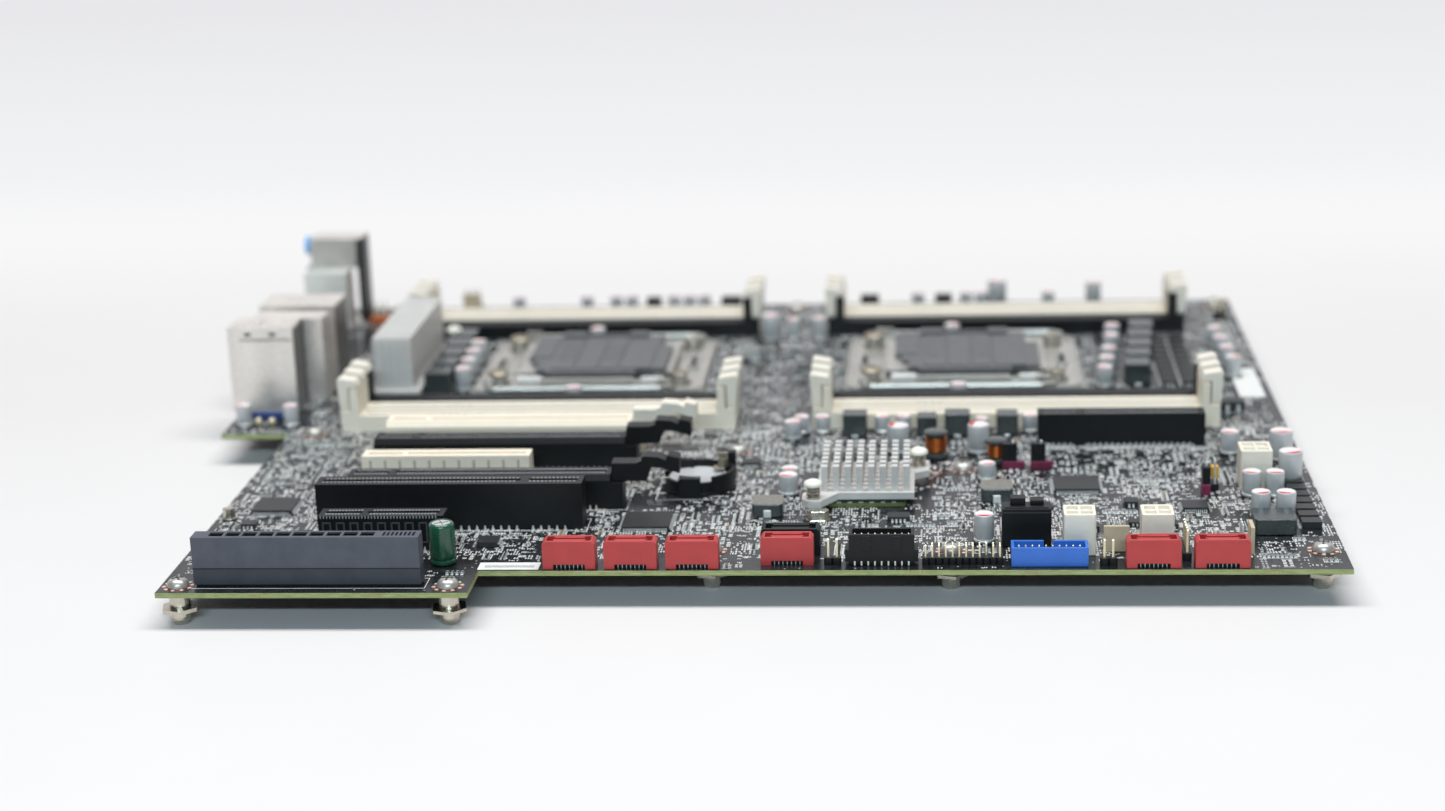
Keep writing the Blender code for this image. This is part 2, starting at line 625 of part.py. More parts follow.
def main():
    clear_scene()
    scene = bpy.context.scene.collection
    parts = bpy.data.collections.new(COLLECTION)
    tools = bpy.data.collections.new("cutters")
    scene.children.link(parts)
    scene.children.link(tools)
    finishes = {
        "mask": material("board_mask", (0.03, 0.031, 0.034), 0.45),
        "steel": material("socket_steel", (0.62, 0.61, 0.6), 0.32, 1.0),
        "black": material("black_plastic", (0.02, 0.02, 0.022), 0.42),
        "ivory": material("ivory_plastic", (0.83, 0.81, 0.70), 0.4),
        "slate": material("slate_plastic", (0.09, 0.1, 0.13), 0.5),
        "fins": material("heatsink_aluminium", (0.55, 0.59, 0.63), 0.4, 1.0),
        "shield": material("connector_shield", (0.72, 0.7, 0.68), 0.3, 1.0),
        "nickel": material("standoff_nickel", (0.66, 0.63, 0.57), 0.28, 1.0),
    }

    make_board(parts, finishes["mask"])
    corners = {
        "front_left": HOLES[0],
        "front_right": HOLES[4],
        "rear_left": HOLES[9],
        "rear_right": HOLES[11],
    }
    for name, (x, y) in corners.items():
        make_standoff("standoff_" + name, x, y, parts, tools, finishes["nickel"])

    for bank, (x, front_y) in BANKS.items():
        make_bank("memory_bank_" + bank, x, front_y, parts, tools, finishes["ivory"])
        for i in range(3):
            y = front_y + SOCKET_DEEP / 2 + i * SOCKET_PITCH
            for side_name, side in (("l", -1), ("r", 1)):
                name = f"latch_{bank}_{i + 1}_{side_name}"
                make_module_latch(name, x, y, side, parts, tools, finishes["ivory"])

    for side_name, middle in CPUS.items():
        make_cpu("cpu_" + side_name, middle, parts, tools, finishes)

    rows = [SLOT_FIRST_Y + i * SLOT_PITCH for i in range(6)]
    key = ((13.2, 15.0),)
    black, ivory = finishes["black"], finishes["ivory"]
    make_slot("slot_1_x4", SLOT_LEFT, rows[0], X4, SLOT_DEEP, SLOT_HIGH, key, False, parts, tools, black)
    make_slot("slot_2_pci", PCI_LEFT, rows[1], PCI_LONG, PCI_DEEP, PCI_HIGH, ((65.0, 67.6),), False, parts, tools, black)
    make_slot("slot_3_x16", SLOT_LEFT, rows[2], X16, SLOT_DEEP, SLOT_HIGH, key, True, parts, tools, black)
    make_slot("slot_4_x8", SLOT_LEFT, rows[3], X8, SLOT_DEEP, SLOT_HIGH, key, False, parts, tools, ivory)
    make_slot("slot_5_x16", SLOT_LEFT, rows[4], X16, SLOT_DEEP, SLOT_HIGH, key, True, parts, tools, black)
    make_slot("slot_6_x16", SLOT_LEFT, rows[5], X16, SLOT_DEEP, SLOT_HIGH, key, True, parts, tools, ivory)
    make_slot("riser_slot", RISER_LEFT, RISER_Y, X8, SLOT_DEEP, SLOT_HIGH, key, False, parts, tools, black)
    make_card_latch("card_latch_3", SLOT_LEFT, rows[2], parts, black)
    make_card_latch("card_latch_5", SLOT_LEFT, rows[4], parts, black)
    make_card_latch("card_latch_6", SLOT_LEFT, rows[5], parts, ivory)

    make_power_connector(parts, tools, finishes["slate"])
    make_vrm_heatsink(parts, tools, finishes["fins"])
    make_chipset_heatsink(parts, tools, finishes["fins"])
    make_battery_holder(parts, tools, black)
    make_rear_connectors(parts, tools, finishes)


main()
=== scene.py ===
"""Looks of the motherboard: materials, small parts, floor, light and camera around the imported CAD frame.

Places are millimetres on the board's own grid: x runs right from the step in the front edge, y runs
back from the front edge right of that step, z runs up from the board's top face.
"""

import math
import random

import bpy
import numpy as np
from mathutils import Matrix, Vector


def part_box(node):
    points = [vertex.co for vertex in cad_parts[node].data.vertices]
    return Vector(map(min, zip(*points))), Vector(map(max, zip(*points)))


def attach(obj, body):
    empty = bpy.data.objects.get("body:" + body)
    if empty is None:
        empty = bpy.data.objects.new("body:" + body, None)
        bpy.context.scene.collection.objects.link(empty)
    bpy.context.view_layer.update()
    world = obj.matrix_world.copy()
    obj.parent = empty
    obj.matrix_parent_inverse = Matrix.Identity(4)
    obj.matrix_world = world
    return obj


MM = 0.001
BOARD_RIGHT = 258.3
TAB_DEEP = 18.6
BOARD_LEFT = -93.7
BOARD_BACK = 328.0
SOCKET_PITCH = 10.16
SOCKET_DEEP = 7.6
BANKS = {
    "front_left": (-4.0, 145.0),
    "front_right": (164.8, 145.0),
    "rear_left": (-4.0, 274.0),
    "rear_right": (164.8, 274.0),
}
CPUS = {"left": (7.5, 225.0), "right": (147.5, 225.0)}
SLOTS = ("slot_1_x4", "slot_2_pci", "slot_3_x16", "slot_4_x8", "slot_5_x16", "slot_6_x16", "riser_slot")
IVORY_SLOTS = ("slot_4_x8", "slot_6_x16")
LONG_SLOT_RIDGE = 85.6
STUD_X, STUD_Y = 34.2, 25.3
LEVER_X = 36.8
PIN_PITCH = 2.54
FINE_PITCH = 1.27
INK = 0.03
REAR_ROW = 321.0

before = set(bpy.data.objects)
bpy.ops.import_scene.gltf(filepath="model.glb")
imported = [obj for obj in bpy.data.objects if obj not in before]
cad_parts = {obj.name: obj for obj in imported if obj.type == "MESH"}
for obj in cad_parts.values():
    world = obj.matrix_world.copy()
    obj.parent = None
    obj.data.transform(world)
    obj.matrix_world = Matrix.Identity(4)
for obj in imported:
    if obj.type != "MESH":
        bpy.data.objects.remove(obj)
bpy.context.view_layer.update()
board_low, board_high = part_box("pcb")
GRID = Vector((board_high.x - BOARD_RIGHT * MM, board_low.y + TAB_DEEP * MM, board_high.z))


def at(x, y, z):
    """A point on the board's grid as metres in the row frame."""
    return GRID + Vector((x, y, z)) * MM


def grid_box(node):
    """A CAD node's box on the board's grid, in millimetres: x0, x1, y0, y1, z0, z1."""
    low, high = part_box(node)
    low, high = (low - GRID) / MM, (high - GRID) / MM
    return low.x, high.x, low.y, high.y, low.z, high.z


# ---------------------------------------------------------------- materials

def linear(colour):
    """0-255 display values as the linear values that Blender shades with."""
    return tuple(((c / 255 + 0.055) / 1.055) ** 2.4 if c > 10 else c / 255 / 12.92 for c in colour)


class Nodes:
    """A short way to build one material's node tree."""

    def __init__(self, name):
        self.material = bpy.data.materials.new(name)
        self.material.use_nodes = True
        self.tree = self.material.node_tree
        self.shader = self.tree.nodes["Principled BSDF"]
        coords = self.tree.nodes.new("ShaderNodeTexCoord")
        self.place = coords.outputs["Object"]

    @property
    def axes(self):
        """The place's x, y and z, in metres."""
        return self.add("SeparateXYZ", {0: self.place}).outputs

    def add(self, kind, inputs=None, **settings):
        node = self.tree.nodes.new("ShaderNode" + kind)
        for key, value in settings.items():
            setattr(node, key, value)
        for key, value in (inputs or {}).items():
            if isinstance(value, bpy.types.NodeSocket):
                self.tree.links.new(value, node.inputs[key])
            else:
                node.inputs[key].default_value = value
        return node

    def noise(self, size_mm, detail=2.0, vector=None):
        inputs = {"Vector": vector or self.place, "Scale": 1000.0 / size_mm, "Detail": detail}
        return self.add("TexNoise", inputs).outputs["Fac"]

    def stretched(self, x, y, z):
        return self.add("Mapping", {"Vector": self.place, "Scale": (x, y, z)}).outputs["Vector"]

    def math(self, operation, a, b=0.0):
        return self.add("Math", {0: a, 1: b}, operation=operation).outputs[0]

    def times(self, a, b):
        return self.math("MULTIPLY", a, b)

    def above(self, a, b):
        return self.math("GREATER_THAN", a, b)

    def below(self, a, b):
        return self.math("LESS_THAN", a, b)

    def most(self, a, b):
        return self.math("MAXIMUM", a, b)

    def scaled(self, colour, factor):
        return self.add("VectorMath", {0: colour, 3: factor}, operation="SCALE").outputs[0]

    def remap(self, value, low, high, to_low=0.0, to_high=1.0):
        inputs = {"Value": value, "From Min": low, "From Max": high, "To Min": to_low, "To Max": to_high}
        return self.add("MapRange", inputs).outputs[0]

    def mix(self, factor, a, b):
        node = self.add("Mix", data_type="RGBA")
        for index, value in ((0, factor), (6, a), (7, b)):
            if isinstance(value, bpy.types.NodeSocket):
                self.tree.links.new(value, node.inputs[index])
            elif index == 0:
                node.inputs[index].default_value = value
            else:
                node.inputs[index].default_value = (*value[:3], 1.0)
        return node.outputs[2]

    def set(self, key, value):
        if isinstance(value, bpy.types.NodeSocket):
            self.tree.links.new(value, self.shader.inputs[key])
        elif key.endswith("Color"):
            self.shader.inputs[key].default_value = (*value, 1.0)
        else:
            self.shader.inputs[key].default_value = value

    def bump(self, height, strength, distance_mm):
        node = self.add("Bump", {"Height": height, "Strength": strength, "Distance": distance_mm * MM})
        self.set("Normal", node.outputs[0])


def surface(name, colour, rough, metal=0.0, vary=0.12, size=3.0, grain=0.25, grain_size=0.25, coat=0.0,
            stretch=None, soft=0.0, shine=0.5):
    """A solid material: colour drifts over size mm, and fine grain breaks up the gloss."""
    made = Nodes(name)
    vector = made.stretched(*stretch) if stretch else made.place
    drift = made.remap(made.noise(size, 3.0, vector), 0.3, 0.7, 1.0 - vary, 1.0 + vary * 0.5)
    base = linear(colour)
    scaled = made.scaled(base, drift)
    fine = made.noise(grain_size, 2.0, vector)
    made.set("Base Color", scaled)
    made.set("Roughness", made.remap(fine, 0.3, 0.7, max(0.03, rough - 0.06), rough + 0.08))
    made.set("Metallic", metal)
    made.set("Coat Weight", coat)
    made.set("Coat Roughness", 0.2)
    made.set("Specular IOR Level", shine)
    if soft:
        made.set("Subsurface Weight", soft)
        made.set("Subsurface Radius", (0.0016, 0.0012, 0.0008))
    made.bump(fine, grain, 0.02)
    return made.material


def printed_cells(made):
    """Crisp upright and level dashes in patches: the small pads and ink between the larger parts."""
    parts = made.axes

    def cells(wide, deep, seed):
        u = made.math("DIVIDE", parts[0], wide * MM)
        v = made.math("DIVIDE", parts[1], deep * MM)
        corner = {0: made.math("FLOOR", u), 1: made.math("FLOOR", v), 2: seed}
        corner = made.add("CombineXYZ", corner).outputs[0]
        value = made.add("TexWhiteNoise", {"Vector": corner}).outputs["Value"]
        across = made.math("ABSOLUTE", made.math("SUBTRACT", made.math("FRACT", u), 0.5))
        along = made.math("ABSOLUTE", made.math("SUBTRACT", made.math("FRACT", v), 0.5))
        across, along = made.below(across, 0.3), made.below(along, 0.36)
        return value, made.times(across, along)

    patch = cells(6.4, 5.2, 3.0)[0]
    upright, upright_inside = cells(0.85, 1.9, 7.0)
    level, level_inside = cells(2.1, 1.5, 11.0)
    first = made.times(upright_inside, made.above(upright, 0.42))
    second = made.times(level_inside, made.above(level, 0.5))
    first = made.times(first, made.below(patch, 0.4))
    second = made.times(second, made.above(patch, 0.72))
    behind = made.above(parts[1], GRID.y + 10.0 * MM)
    near = made.below(parts[1], GRID.y + 150.0 * MM)
    few = made.most(made.below(patch, 0.14), made.above(patch, 0.92))
    area = made.times(behind, made.most(near, few))
    return made.times(made.most(first, second), area)


def mask_material():
    """Solder mask on both faces with faint copper runs under it, laminate on the edges."""
    made = Nodes("board_mask")
    geometry = made.add("NewGeometry")
    normal = made.add("SeparateXYZ", {0: geometry.outputs["Normal"]}).outputs[2]
    face = made.above(made.math("ABSOLUTE", normal), 0.5)
    runs = []
    for turn, width in ((0.0, 2.4), (math.pi / 4, 1.9), (math.pi / 2, 2.4)):
        turned = made.add("Mapping", {"Vector": made.place, "Rotation": (0.0, 0.0, turn)}).outputs["Vector"]
        wave = made.add("TexWave", {"Vector": turned, "Scale": 1000.0 / width / 6.3, "Distortion": 0.0})
        area = made.noise(9.0 + 4.0 * turn, 0.0, turned)
        line = made.above(wave.outputs["Fac"], 0.62)
        runs.append(made.times(line, made.above(area, 0.52)))
    run = made.most(made.most(runs[0], runs[1]), runs[2])
    plane = made.above(made.noise(22.0, 0.0), 0.56)
    shade = made.most(made.times(run, 0.8), plane)
    colour = made.mix(shade, linear((26, 27, 30)), linear((40, 41, 45)))
    colour = made.mix(printed_cells(made), colour, linear((208, 209, 206)))
    layers = made.add("TexWave", {"Vector": made.place, "Scale": 1000.0 / 0.4 / 6.3}, bands_direction="Z")
    glass = made.noise(0.5, 3.0, made.stretched(0.15, 0.15, 1.0))
    edge = made.mix(layers.outputs["Fac"], linear((150, 160, 104)), linear((172, 180, 128)))
    edge = made.mix(made.remap(glass, 0.35, 0.75), edge, linear((128, 140, 84)))
    made.set("Base Color", made.mix(face, edge, colour))
    fine = made.noise(0.35, 2.0)
    made.set("Roughness", made.remap(fine, 0.3, 0.7, 0.2, 0.3))
    made.set("Specular IOR Level", 0.35)
    return made.material


def bank_material(name, dark_low, dark_high):
    """Ivory sockets with one black one: y between the two values is the black socket."""
    made = Nodes(name)
    y = made.axes[1]
    dark = made.times(made.above(y, dark_low), made.below(y, dark_high))
    drift = made.noise(6.0, 3.0)
    ivory = made.mix(drift, linear((238, 229, 211)), linear((246, 237, 221)))
    black = made.mix(drift, linear((20, 21, 23)), linear((27, 28, 30)))
    made.set("Base Color", made.mix(dark, ivory, black))
    fine = made.noise(0.3, 2.0)
    made.set("Roughness", made.remap(fine, 0.3, 0.7, 0.36, 0.5))
    made.set("Specular IOR Level", 0.35)
    made.set("Subsurface Weight", made.times(made.math("SUBTRACT", 1.0, dark), 0.12))
    made.set("Subsurface Radius", (0.0016, 0.0012, 0.0008))
    made.bump(fine, 0.2, 0.02)
    return made.material


def slate_material():
    """Moulded grey plastic with a darker band below the line across its front."""
    made = Nodes("slate_plastic")
    z = made.axes[2]
    foot = made.below(z, GRID.z + 5.8 * MM)
    drift = made.remap(made.noise(5.0, 3.0), 0.3, 0.7, 0.86, 1.06)
    colour = made.mix(foot, linear((85, 87, 97)), linear((63, 66, 75)))
    made.set("Base Color", made.scaled(colour, drift))
    fine = made.noise(0.35, 2.0)
    made.set("Roughness", made.remap(fine, 0.3, 0.7, 0.42, 0.56))
    made.set("Specular IOR Level", 0.35)
    made.bump(fine, 0.5, 0.02)
    return made.material


def stripe_material(name, light, dark, pitch_mm, share, metal):
    """Narrow contacts in a row: light stripes on a dark ground, pitch_mm apart along x."""
    made = Nodes(name)
    place = made.axes[0]
    phase = made.math("FRACT", made.times(place, 1000.0 / pitch_mm))
    stripe = made.below(phase, share)
    wear = made.remap(made.noise(1.4, 2.0), 0.3, 0.7, 0.8, 1.05)
    bright = made.scaled(linear(light), wear)
    made.set("Base Color", made.mix(stripe, linear(dark), bright))
    made.set("Metallic", made.times(stripe, metal))
    made.set("Roughness", 0.4)
    made.bump(stripe, 0.5, 0.05)
    return made.material


# colour drift drawn out along z, as on folded sheet
UPRIGHT = (1.0, 1.0, 0.12)

MASK = mask_material()
BLACK = surface("black_plastic", (23, 25, 26), 0.4, grain=0.35, shine=0.26)
DARK_GREY = surface("dark_grey_plastic", (78, 80, 82), 0.5, grain=0.4, shine=0.3)
# light grey for the teeth and marks on the black slots: painted highlight
TOOTH_HIGHLIGHT = surface("tooth_highlight", (172, 174, 174), 0.5, 0.1, grain=0.4, shine=0.3)
NAVY = surface("navy_plastic", (38, 66, 128), 0.45)
# darker ivory for the lines down the front of the short ivory slot: painted shade of its grooves
GROOVE_SHADE = surface("ivory_groove_shade", (182, 178, 166), 0.5)
PLATING = surface("edge_plating", (158, 146, 92), 0.5, 0.2)
# darker shield colour on the front of the upper audio block: painted shade
AUDIO_FRONT_SHADE = surface("audio_plate", (186, 183, 178), 0.35, 0.4, vary=0.14, size=7.0)
SHADE = surface("shaded_shield", (122, 119, 117), 0.35, 0.5, vary=0.25, size=7.0, stretch=UPRIGHT)
SKY = surface("sky_plastic", (92, 172, 232), 0.4)
STUD = surface("stud_nickel", (158, 150, 134), 0.4, 0.75, vary=0.15, size=2.0)
COVER = surface("cover_plastic", (102, 102, 104), 0.5, grain=0.5, grain_size=0.4, shine=0.4)
SLATE = slate_material()
IVORY = surface("ivory_plastic", (250, 237, 217), 0.42, vary=0.03, soft=0.12)
CREAM = surface("cream_plastic", (238, 231, 217), 0.4, vary=0.04, soft=0.12)
BEIGE = surface("beige_plastic", (206, 188, 160), 0.45, vary=0.08, soft=0.08)
WHITE = surface("white_nylon", (240, 238, 226), 0.4, vary=0.05, soft=0.15)
RED = surface("red_plastic", (186, 58, 58), 0.42, vary=0.08, size=5.0, grain=0.35, soft=0.04)
BLUE = surface("blue_plastic", (52, 112, 205), 0.42, vary=0.08, size=5.0, soft=0.04)
ORANGE = surface("orange_plastic", (214, 108, 38), 0.45)
YELLOW = surface("yellow_plastic", (228, 168, 40), 0.45)
MAROON = surface("maroon_plastic", (120, 32, 66), 0.45)
GREEN = surface("green_sleeve", (22, 78, 56), 0.28, vary=0.16, coat=0.5, grain=0.15)
STEEL = surface("socket_steel", (194, 191, 185), 0.36, 0.65, vary=0.14, size=6.0, stretch=(0.2, 1.0, 1.0))
BRIGHT = surface("bright_catch", (232, 231, 228), 0.3, 0.3, vary=0.06)
NICKEL = surface("standoff_nickel", (198, 192, 178), 0.24, 1.0, vary=0.12)
TIN = surface("tin_solder", (222, 223, 221), 0.3, 0.35, vary=0.2, size=1.2)
GOLD = surface("gold_pin", (236, 220, 184), 0.3, 0.45, vary=0.1)
COPPER = surface("bare_copper", (176, 104, 68), 0.34, 1.0, vary=0.35, size=1.5, grain=0.5)
WIRE = surface("enamel_wire", (206, 112, 52), 0.3, 1.0, vary=0.25, size=0.9, coat=0.4)
SHIELD = surface("connector_shield", (236, 229, 222), 0.3, 0.6, 0.14, 9.0, grain=0.3, stretch=UPRIGHT)
PALE = surface("pale_shield", (222, 224, 218), 0.3, 0.3, vary=0.08, size=6.0)
FINS = surface("heatsink_aluminium", (215, 212, 208), 0.42, 0.12, 0.06, 7.0, grain=0.5, grain_size=0.3)
CAN = surface("capacitor_can", (200, 202, 203), 0.36, 0.25, vary=0.07, size=4.0, grain=0.2)
CAN_TOP = surface("capacitor_top", (240, 230, 229), 0.5, vary=0.05, shine=0.3)
PRINT_RED = surface("red_print", (206, 52, 62), 0.55, vary=0.15, size=0.8, shine=0.3)
SILK = surface("silkscreen_ink", (232, 233, 230), 0.6, vary=0.08, size=1.5, shine=0.3)
FERRITE = surface("ferrite", (58, 64, 64), 0.2, 0.0, 0.25, 0.8, grain=0.5, grain_size=0.3, shine=0.7)
CLAY = surface("tan_ferrite", (120, 116, 108), 0.3, vary=0.2, size=1.0, grain=0.6, grain_size=0.3)
CERAMIC = surface("ceramic_tan", (150, 130, 98), 0.5, vary=0.3, size=1.8)
PACKAGE = surface("chip_package", (48, 49, 50), 0.4, 0.0, 0.1, 1.0, grain=0.6, grain_size=0.2, shine=0.35)
SUBSTRATE = surface("chip_substrate", (116, 126, 72), 0.4, vary=0.2)
CONTACTS = stripe_material("socket_contacts", (190, 186, 172), (24, 25, 26), 0.85, 0.45, 0.8)


# ---------------------------------------------------------------- mesh building

class Shape:
    """Faces for one piece, in grid millimetres; each face keeps the number of its material."""

    def __init__(self):
        self.points = []
        self.faces = []
        self.slots = []
        self.smooth = []

    def add(self, points, faces, slot=0, smooth=False):
        start = len(self.points)
        self.points.extend(points)
        self.faces.extend([tuple(start + i for i in face) for face in faces])
        self.slots.extend([slot] * len(faces))
        self.smooth.extend([smooth] * len(faces))

    def box(self, x0, x1, y0, y1, z0, z1, slot=0):
        """A box; the two x and the two y values may come in either order."""
        (x0, x1), (y0, y1) = sorted((x0, x1)), sorted((y0, y1))
        points = [(x, y, z) for z in (z0, z1) for y in (y0, y1) for x in (x0, x1)]
        faces = [(0, 2, 3, 1), (4, 5, 7, 6), (0, 1, 5, 4), (2, 6, 7, 3), (0, 4, 6, 2), (1, 3, 7, 5)]
        self.add(points, faces, slot)

    def boxes(self, *rows):
        """Several boxes: x0, x1, y0, y1, z0, z1 and, where it isn't the first, the material's number."""
        for row in rows:
            self.box(*row)

    def block(self, x, y, wide, deep, z0, z1, slot=0):
        self.box(x - wide / 2, x + wide / 2, y - deep / 2, y + deep / 2, z0, z1, slot)

    def prism(self, outline, z0, z1, slot=0):
        """A counter-clockwise (x, y) outline between two heights."""
        count = len(outline)
        points = [(x, y, z0) for x, y in outline] + [(x, y, z1) for x, y in outline]
        faces = [(i, (i + 1) % count, count + (i + 1) % count, count + i) for i in range(count)]
        faces += [tuple(reversed(range(count))), tuple(range(count, 2 * count))]
        self.add(points, faces, slot)

    def side_prism(self, outline, y0, y1, slot=0):
        """A counter-clockwise (x, z) outline, seen from the front, between two y values."""
        count = len(outline)
        points = [(x, y0, z) for x, z in outline] + [(x, y1, z) for x, z in outline]
        faces = [(i, count + i, count + (i + 1) % count, (i + 1) % count) for i in range(count)]
        faces += [tuple(range(count)), tuple(reversed(range(count, 2 * count)))]
        self.add(points, faces, slot)

    def ring(self, outer, inner, z0, z1, slot=0):
        """A wall between two counter-clockwise outlines with the same number of points."""
        count = len(outer)
        rows = [(outer, z0), (outer, z1), (inner, z1), (inner, z0)]
        points = [(x, y, z) for line, z in rows for x, y in line]
        faces = []
        for row in range(4):
            following = (row + 1) % 4
            for i in range(count):
                j = (i + 1) % count
                faces.append((row * count + i, row * count + j, following * count + j, following * count + i))
        self.add(points, faces, slot)

    def turned(self, x, y, profile, slot=0, steps=20):
        """A closed profile of (radius, height) from bottom to top, turned about an upright axis."""
        points, rings = [], []
        for radius, height in profile:
            if radius < 1e-6:
                rings.append([len(points)])
                points.append((0.0, 0.0, height))
                continue
            rings.append(list(range(len(points), len(points) + steps)))
            for i in range(steps):
                angle = 2 * math.pi * i / steps
                points.append((radius * math.cos(angle), radius * math.sin(angle), height))
        faces = []
        for low, high in zip(rings, rings[1:]):
            for i in range(steps):
                j = (i + 1) % steps
                if len(low) == 1:
                    faces.append((low[0], high[j], high[i]))
                elif len(high) == 1:
                    faces.append((low[i], low[j], high[0]))
                else:
                    faces.append((low[i], low[j], high[j], high[i]))
        self.add([(x + a, y + b, h) for a, b, h in points], faces, slot, True)

    def build(self, name, materials, body="board", bevel=0.0):
        mesh = bpy.data.meshes.new(name)
        mesh.from_pydata([tuple(at(*p)) for p in self.points], [], self.faces)
        for made in materials:
            mesh.materials.append(made)
        mesh.polygons.foreach_set("material_index", self.slots)
        mesh.polygons.foreach_set("use_smooth", self.smooth)
        mesh.update()
        piece = bpy.data.objects.new(name, mesh)
        bpy.context.scene.collection.objects.link(piece)
        if any(self.smooth):
            mesh.set_sharp_from_angle(angle=math.radians(38))
        if bevel:
            soften(piece, bevel)
        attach(piece, body)


def soften(piece, width_mm, segments=2):
    edge = piece.modifiers.new("edges", "BEVEL")
    edge.width = width_mm * MM
    edge.segments = segments
    edge.limit_method = "ANGLE"
    edge.angle_limit = math.radians(40)
    edge.harden_normals = False


def rectangle(x0, x1, y0, y1, cut=0.0):
    """A counter-clockwise rectangle; cut takes the corners off."""
    if not cut:
        return [(x0, y0), (x1, y0), (x1, y1), (x0, y1)]
    return [
        (x0 + cut, y0), (x1 - cut, y0), (x1, y0 + cut), (x1, y1 - cut),
        (x1 - cut, y1), (x0 + cut, y1), (x0, y1 - cut), (x0, y0 + cut),
    ]


def disc(x, y, radius, steps=12, turn=0.0):
    angles = [turn + 2 * math.pi * i / steps for i in range(steps)]
    return [(x + radius * math.cos(t), y + radius * math.sin(t)) for t in angles]


# Where the board's top is taken, so that the scattered small parts keep clear
CELL = 0.5
GRID_LEFT, GRID_FRONT = -120, -20
taken = np.zeros((int((262 - GRID_LEFT) / CELL), int((332 - GRID_FRONT) / CELL)), bool)


def cells(x0, x1, y0, y1):
    left, right = int((x0 - GRID_LEFT) / CELL), int(math.ceil((x1 - GRID_LEFT) / CELL))
    front, back = int((y0 - GRID_FRONT) / CELL), int(math.ceil((y1 - GRID_FRONT) / CELL))
    return slice(max(0, left), max(0, right)), slice(max(0, front), max(0, back))


def reserve(x0, x1, y0, y1, margin=0.6):
    taken[cells(x0 - margin, x1 + margin, y0 - margin, y1 + margin)] = True


def is_free(x0, x1, y0, y1):
    if x0 < BOARD_LEFT + 1 or x1 > BOARD_RIGHT - 1 or y1 > BOARD_BACK - 1 or y0 < -TAB_DEEP + 1:
        return False
    if y0 < 1.0 and x1 > -1.0:
        return False
    return not taken[cells(x0, x1, y0, y1)].any()


# ---------------------------------------------------------------- small parts used many times

def can_capacitor(shape, x, y, radius, high, turn):
    """An aluminium can: slots 0 can, 1 black base, 2 red print on top, 3 solder and rim, 4 white top."""
    foot, low = radius + 0.3, 0.5
    shape.prism(rectangle(x - foot, x + foot, y - foot, y + foot, 0.9), 0.0, low, 1)
    for side in (-1, 1):
        edge = y + side * foot
        shape.box(x - 0.5, x + 0.5, edge - side * 0.3, edge + side * 0.6, 0.0, 0.25, 3)
    rim = ((0.0, 0.0), (1.02, 0.0), (1.03, 0.55), (0.94, 0.75), (0.0, 0.75))
    shape.turned(x, y, [(radius * r, low + z) for r, z in rim], 3, 24)
    shape.turned(x, y, [
        (0.0, low + 0.7), (radius * 0.93, low + 0.7), (radius * 0.93, low + 1.1), (radius, low + 1.5),
        (radius, high - 0.45), (radius * 0.97, high - 0.14), (radius * 0.9, high), (0.0, high),
    ], 0, 24)
    shape.prism(disc(x, y, radius * 0.88, 24), high - 0.02, high + 0.03, 4)
    angles = [turn + t for t in np.linspace(-1.05, 1.05, 11)]
    arc = [(x + radius * 0.86 * math.cos(t), y + radius * 0.86 * math.sin(t)) for t in angles]
    shape.prism(arc, high, high + 0.06, 2)
    reserve(x - foot - 0.5, x + foot + 0.5, y - foot - 0.5, y + foot + 0.5)


def chip(shape, x0, x1, y0, y1, high, leads, pitch=0.65, sides="xy", dot=True):
    """A flat package: slot 0 body, 1 leads, 2 dot. Leads are real legs bent down to the board."""
    shape.prism(rectangle(x0, x1, y0, y1, 0.25), 0.15, high)
    if dot:
        shape.prism(disc(x0 + 1.2, y0 + 1.2, 0.35, 10), high - 0.01, high + 0.02, 2)
    mid, half = high * 0.5, pitch * 0.22
    # shoulder, foot and the upright between them: from and to out of the body, bottom, top
    leg = (
        (-0.1, leads * 0.5, mid - 0.1, mid + 0.08), (leads * 0.4, leads, 0.0, 0.18),
        (leads * 0.38, leads * 0.54, 0.05, mid + 0.05),
    )
    for side, start, end, edges in (("x", x0, x1, (y0, y1)), ("y", y0, y1, (x0, x1))):
        count = int((end - start - 0.8) / pitch) if leads and side in sides else 0
        for i in range(count):
            middle = (start + end) / 2 + (i - (count - 1) / 2) * pitch
            for edge, sign in zip(edges, (-1, 1)):
                for near, far, bottom, top in leg:
                    along = (middle - half, middle + half)
                    out = (edge + sign * near, edge + sign * far)
                    first, second = (along, out) if side == "x" else (out, along)
                    shape.box(*first, *second, bottom, top, 1)
    reserve(x0 - leads, x1 + leads, y0 - leads, y1 + leads)


def row_box(shape, x, y, along_x, start, end, wide, z0, z1, slot):
    """A box from start to end along the row's direction from (x, y), and wide across it."""
    if along_x:
        shape.box(x + start, x + end, y - wide / 2, y + wide / 2, z0, z1, slot)
    else:
        shape.box(x - wide / 2, x + wide / 2, y + start, y + end, z0, z1, slot)


def passive(shape, x, y, long, wide, high, along_x, kind):
    """A chip resistor or capacitor on its two solder fillets: slots 0 solder, then the body's kind."""
    half = long / 2
    for start, end in ((-half, -half * 0.5), (half * 0.5, half)):
        row_box(shape, x, y, along_x, start, end, wide, 0.02, high * 0.96, 0)
    row_box(shape, x, y, along_x, -half * 0.62, half * 0.62, wide * 0.97, 0.06, high, kind)


def pads(shape, x, y, long, wide, along_x):
    """Bare solder pads under a part, or an empty place for one."""
    for middle in (-long * 0.36, long * 0.36):
        half = long * 0.42 / 2
        row_box(shape, x, y, along_x, middle - half, middle + half, wide, 0.0, 0.06, 0)


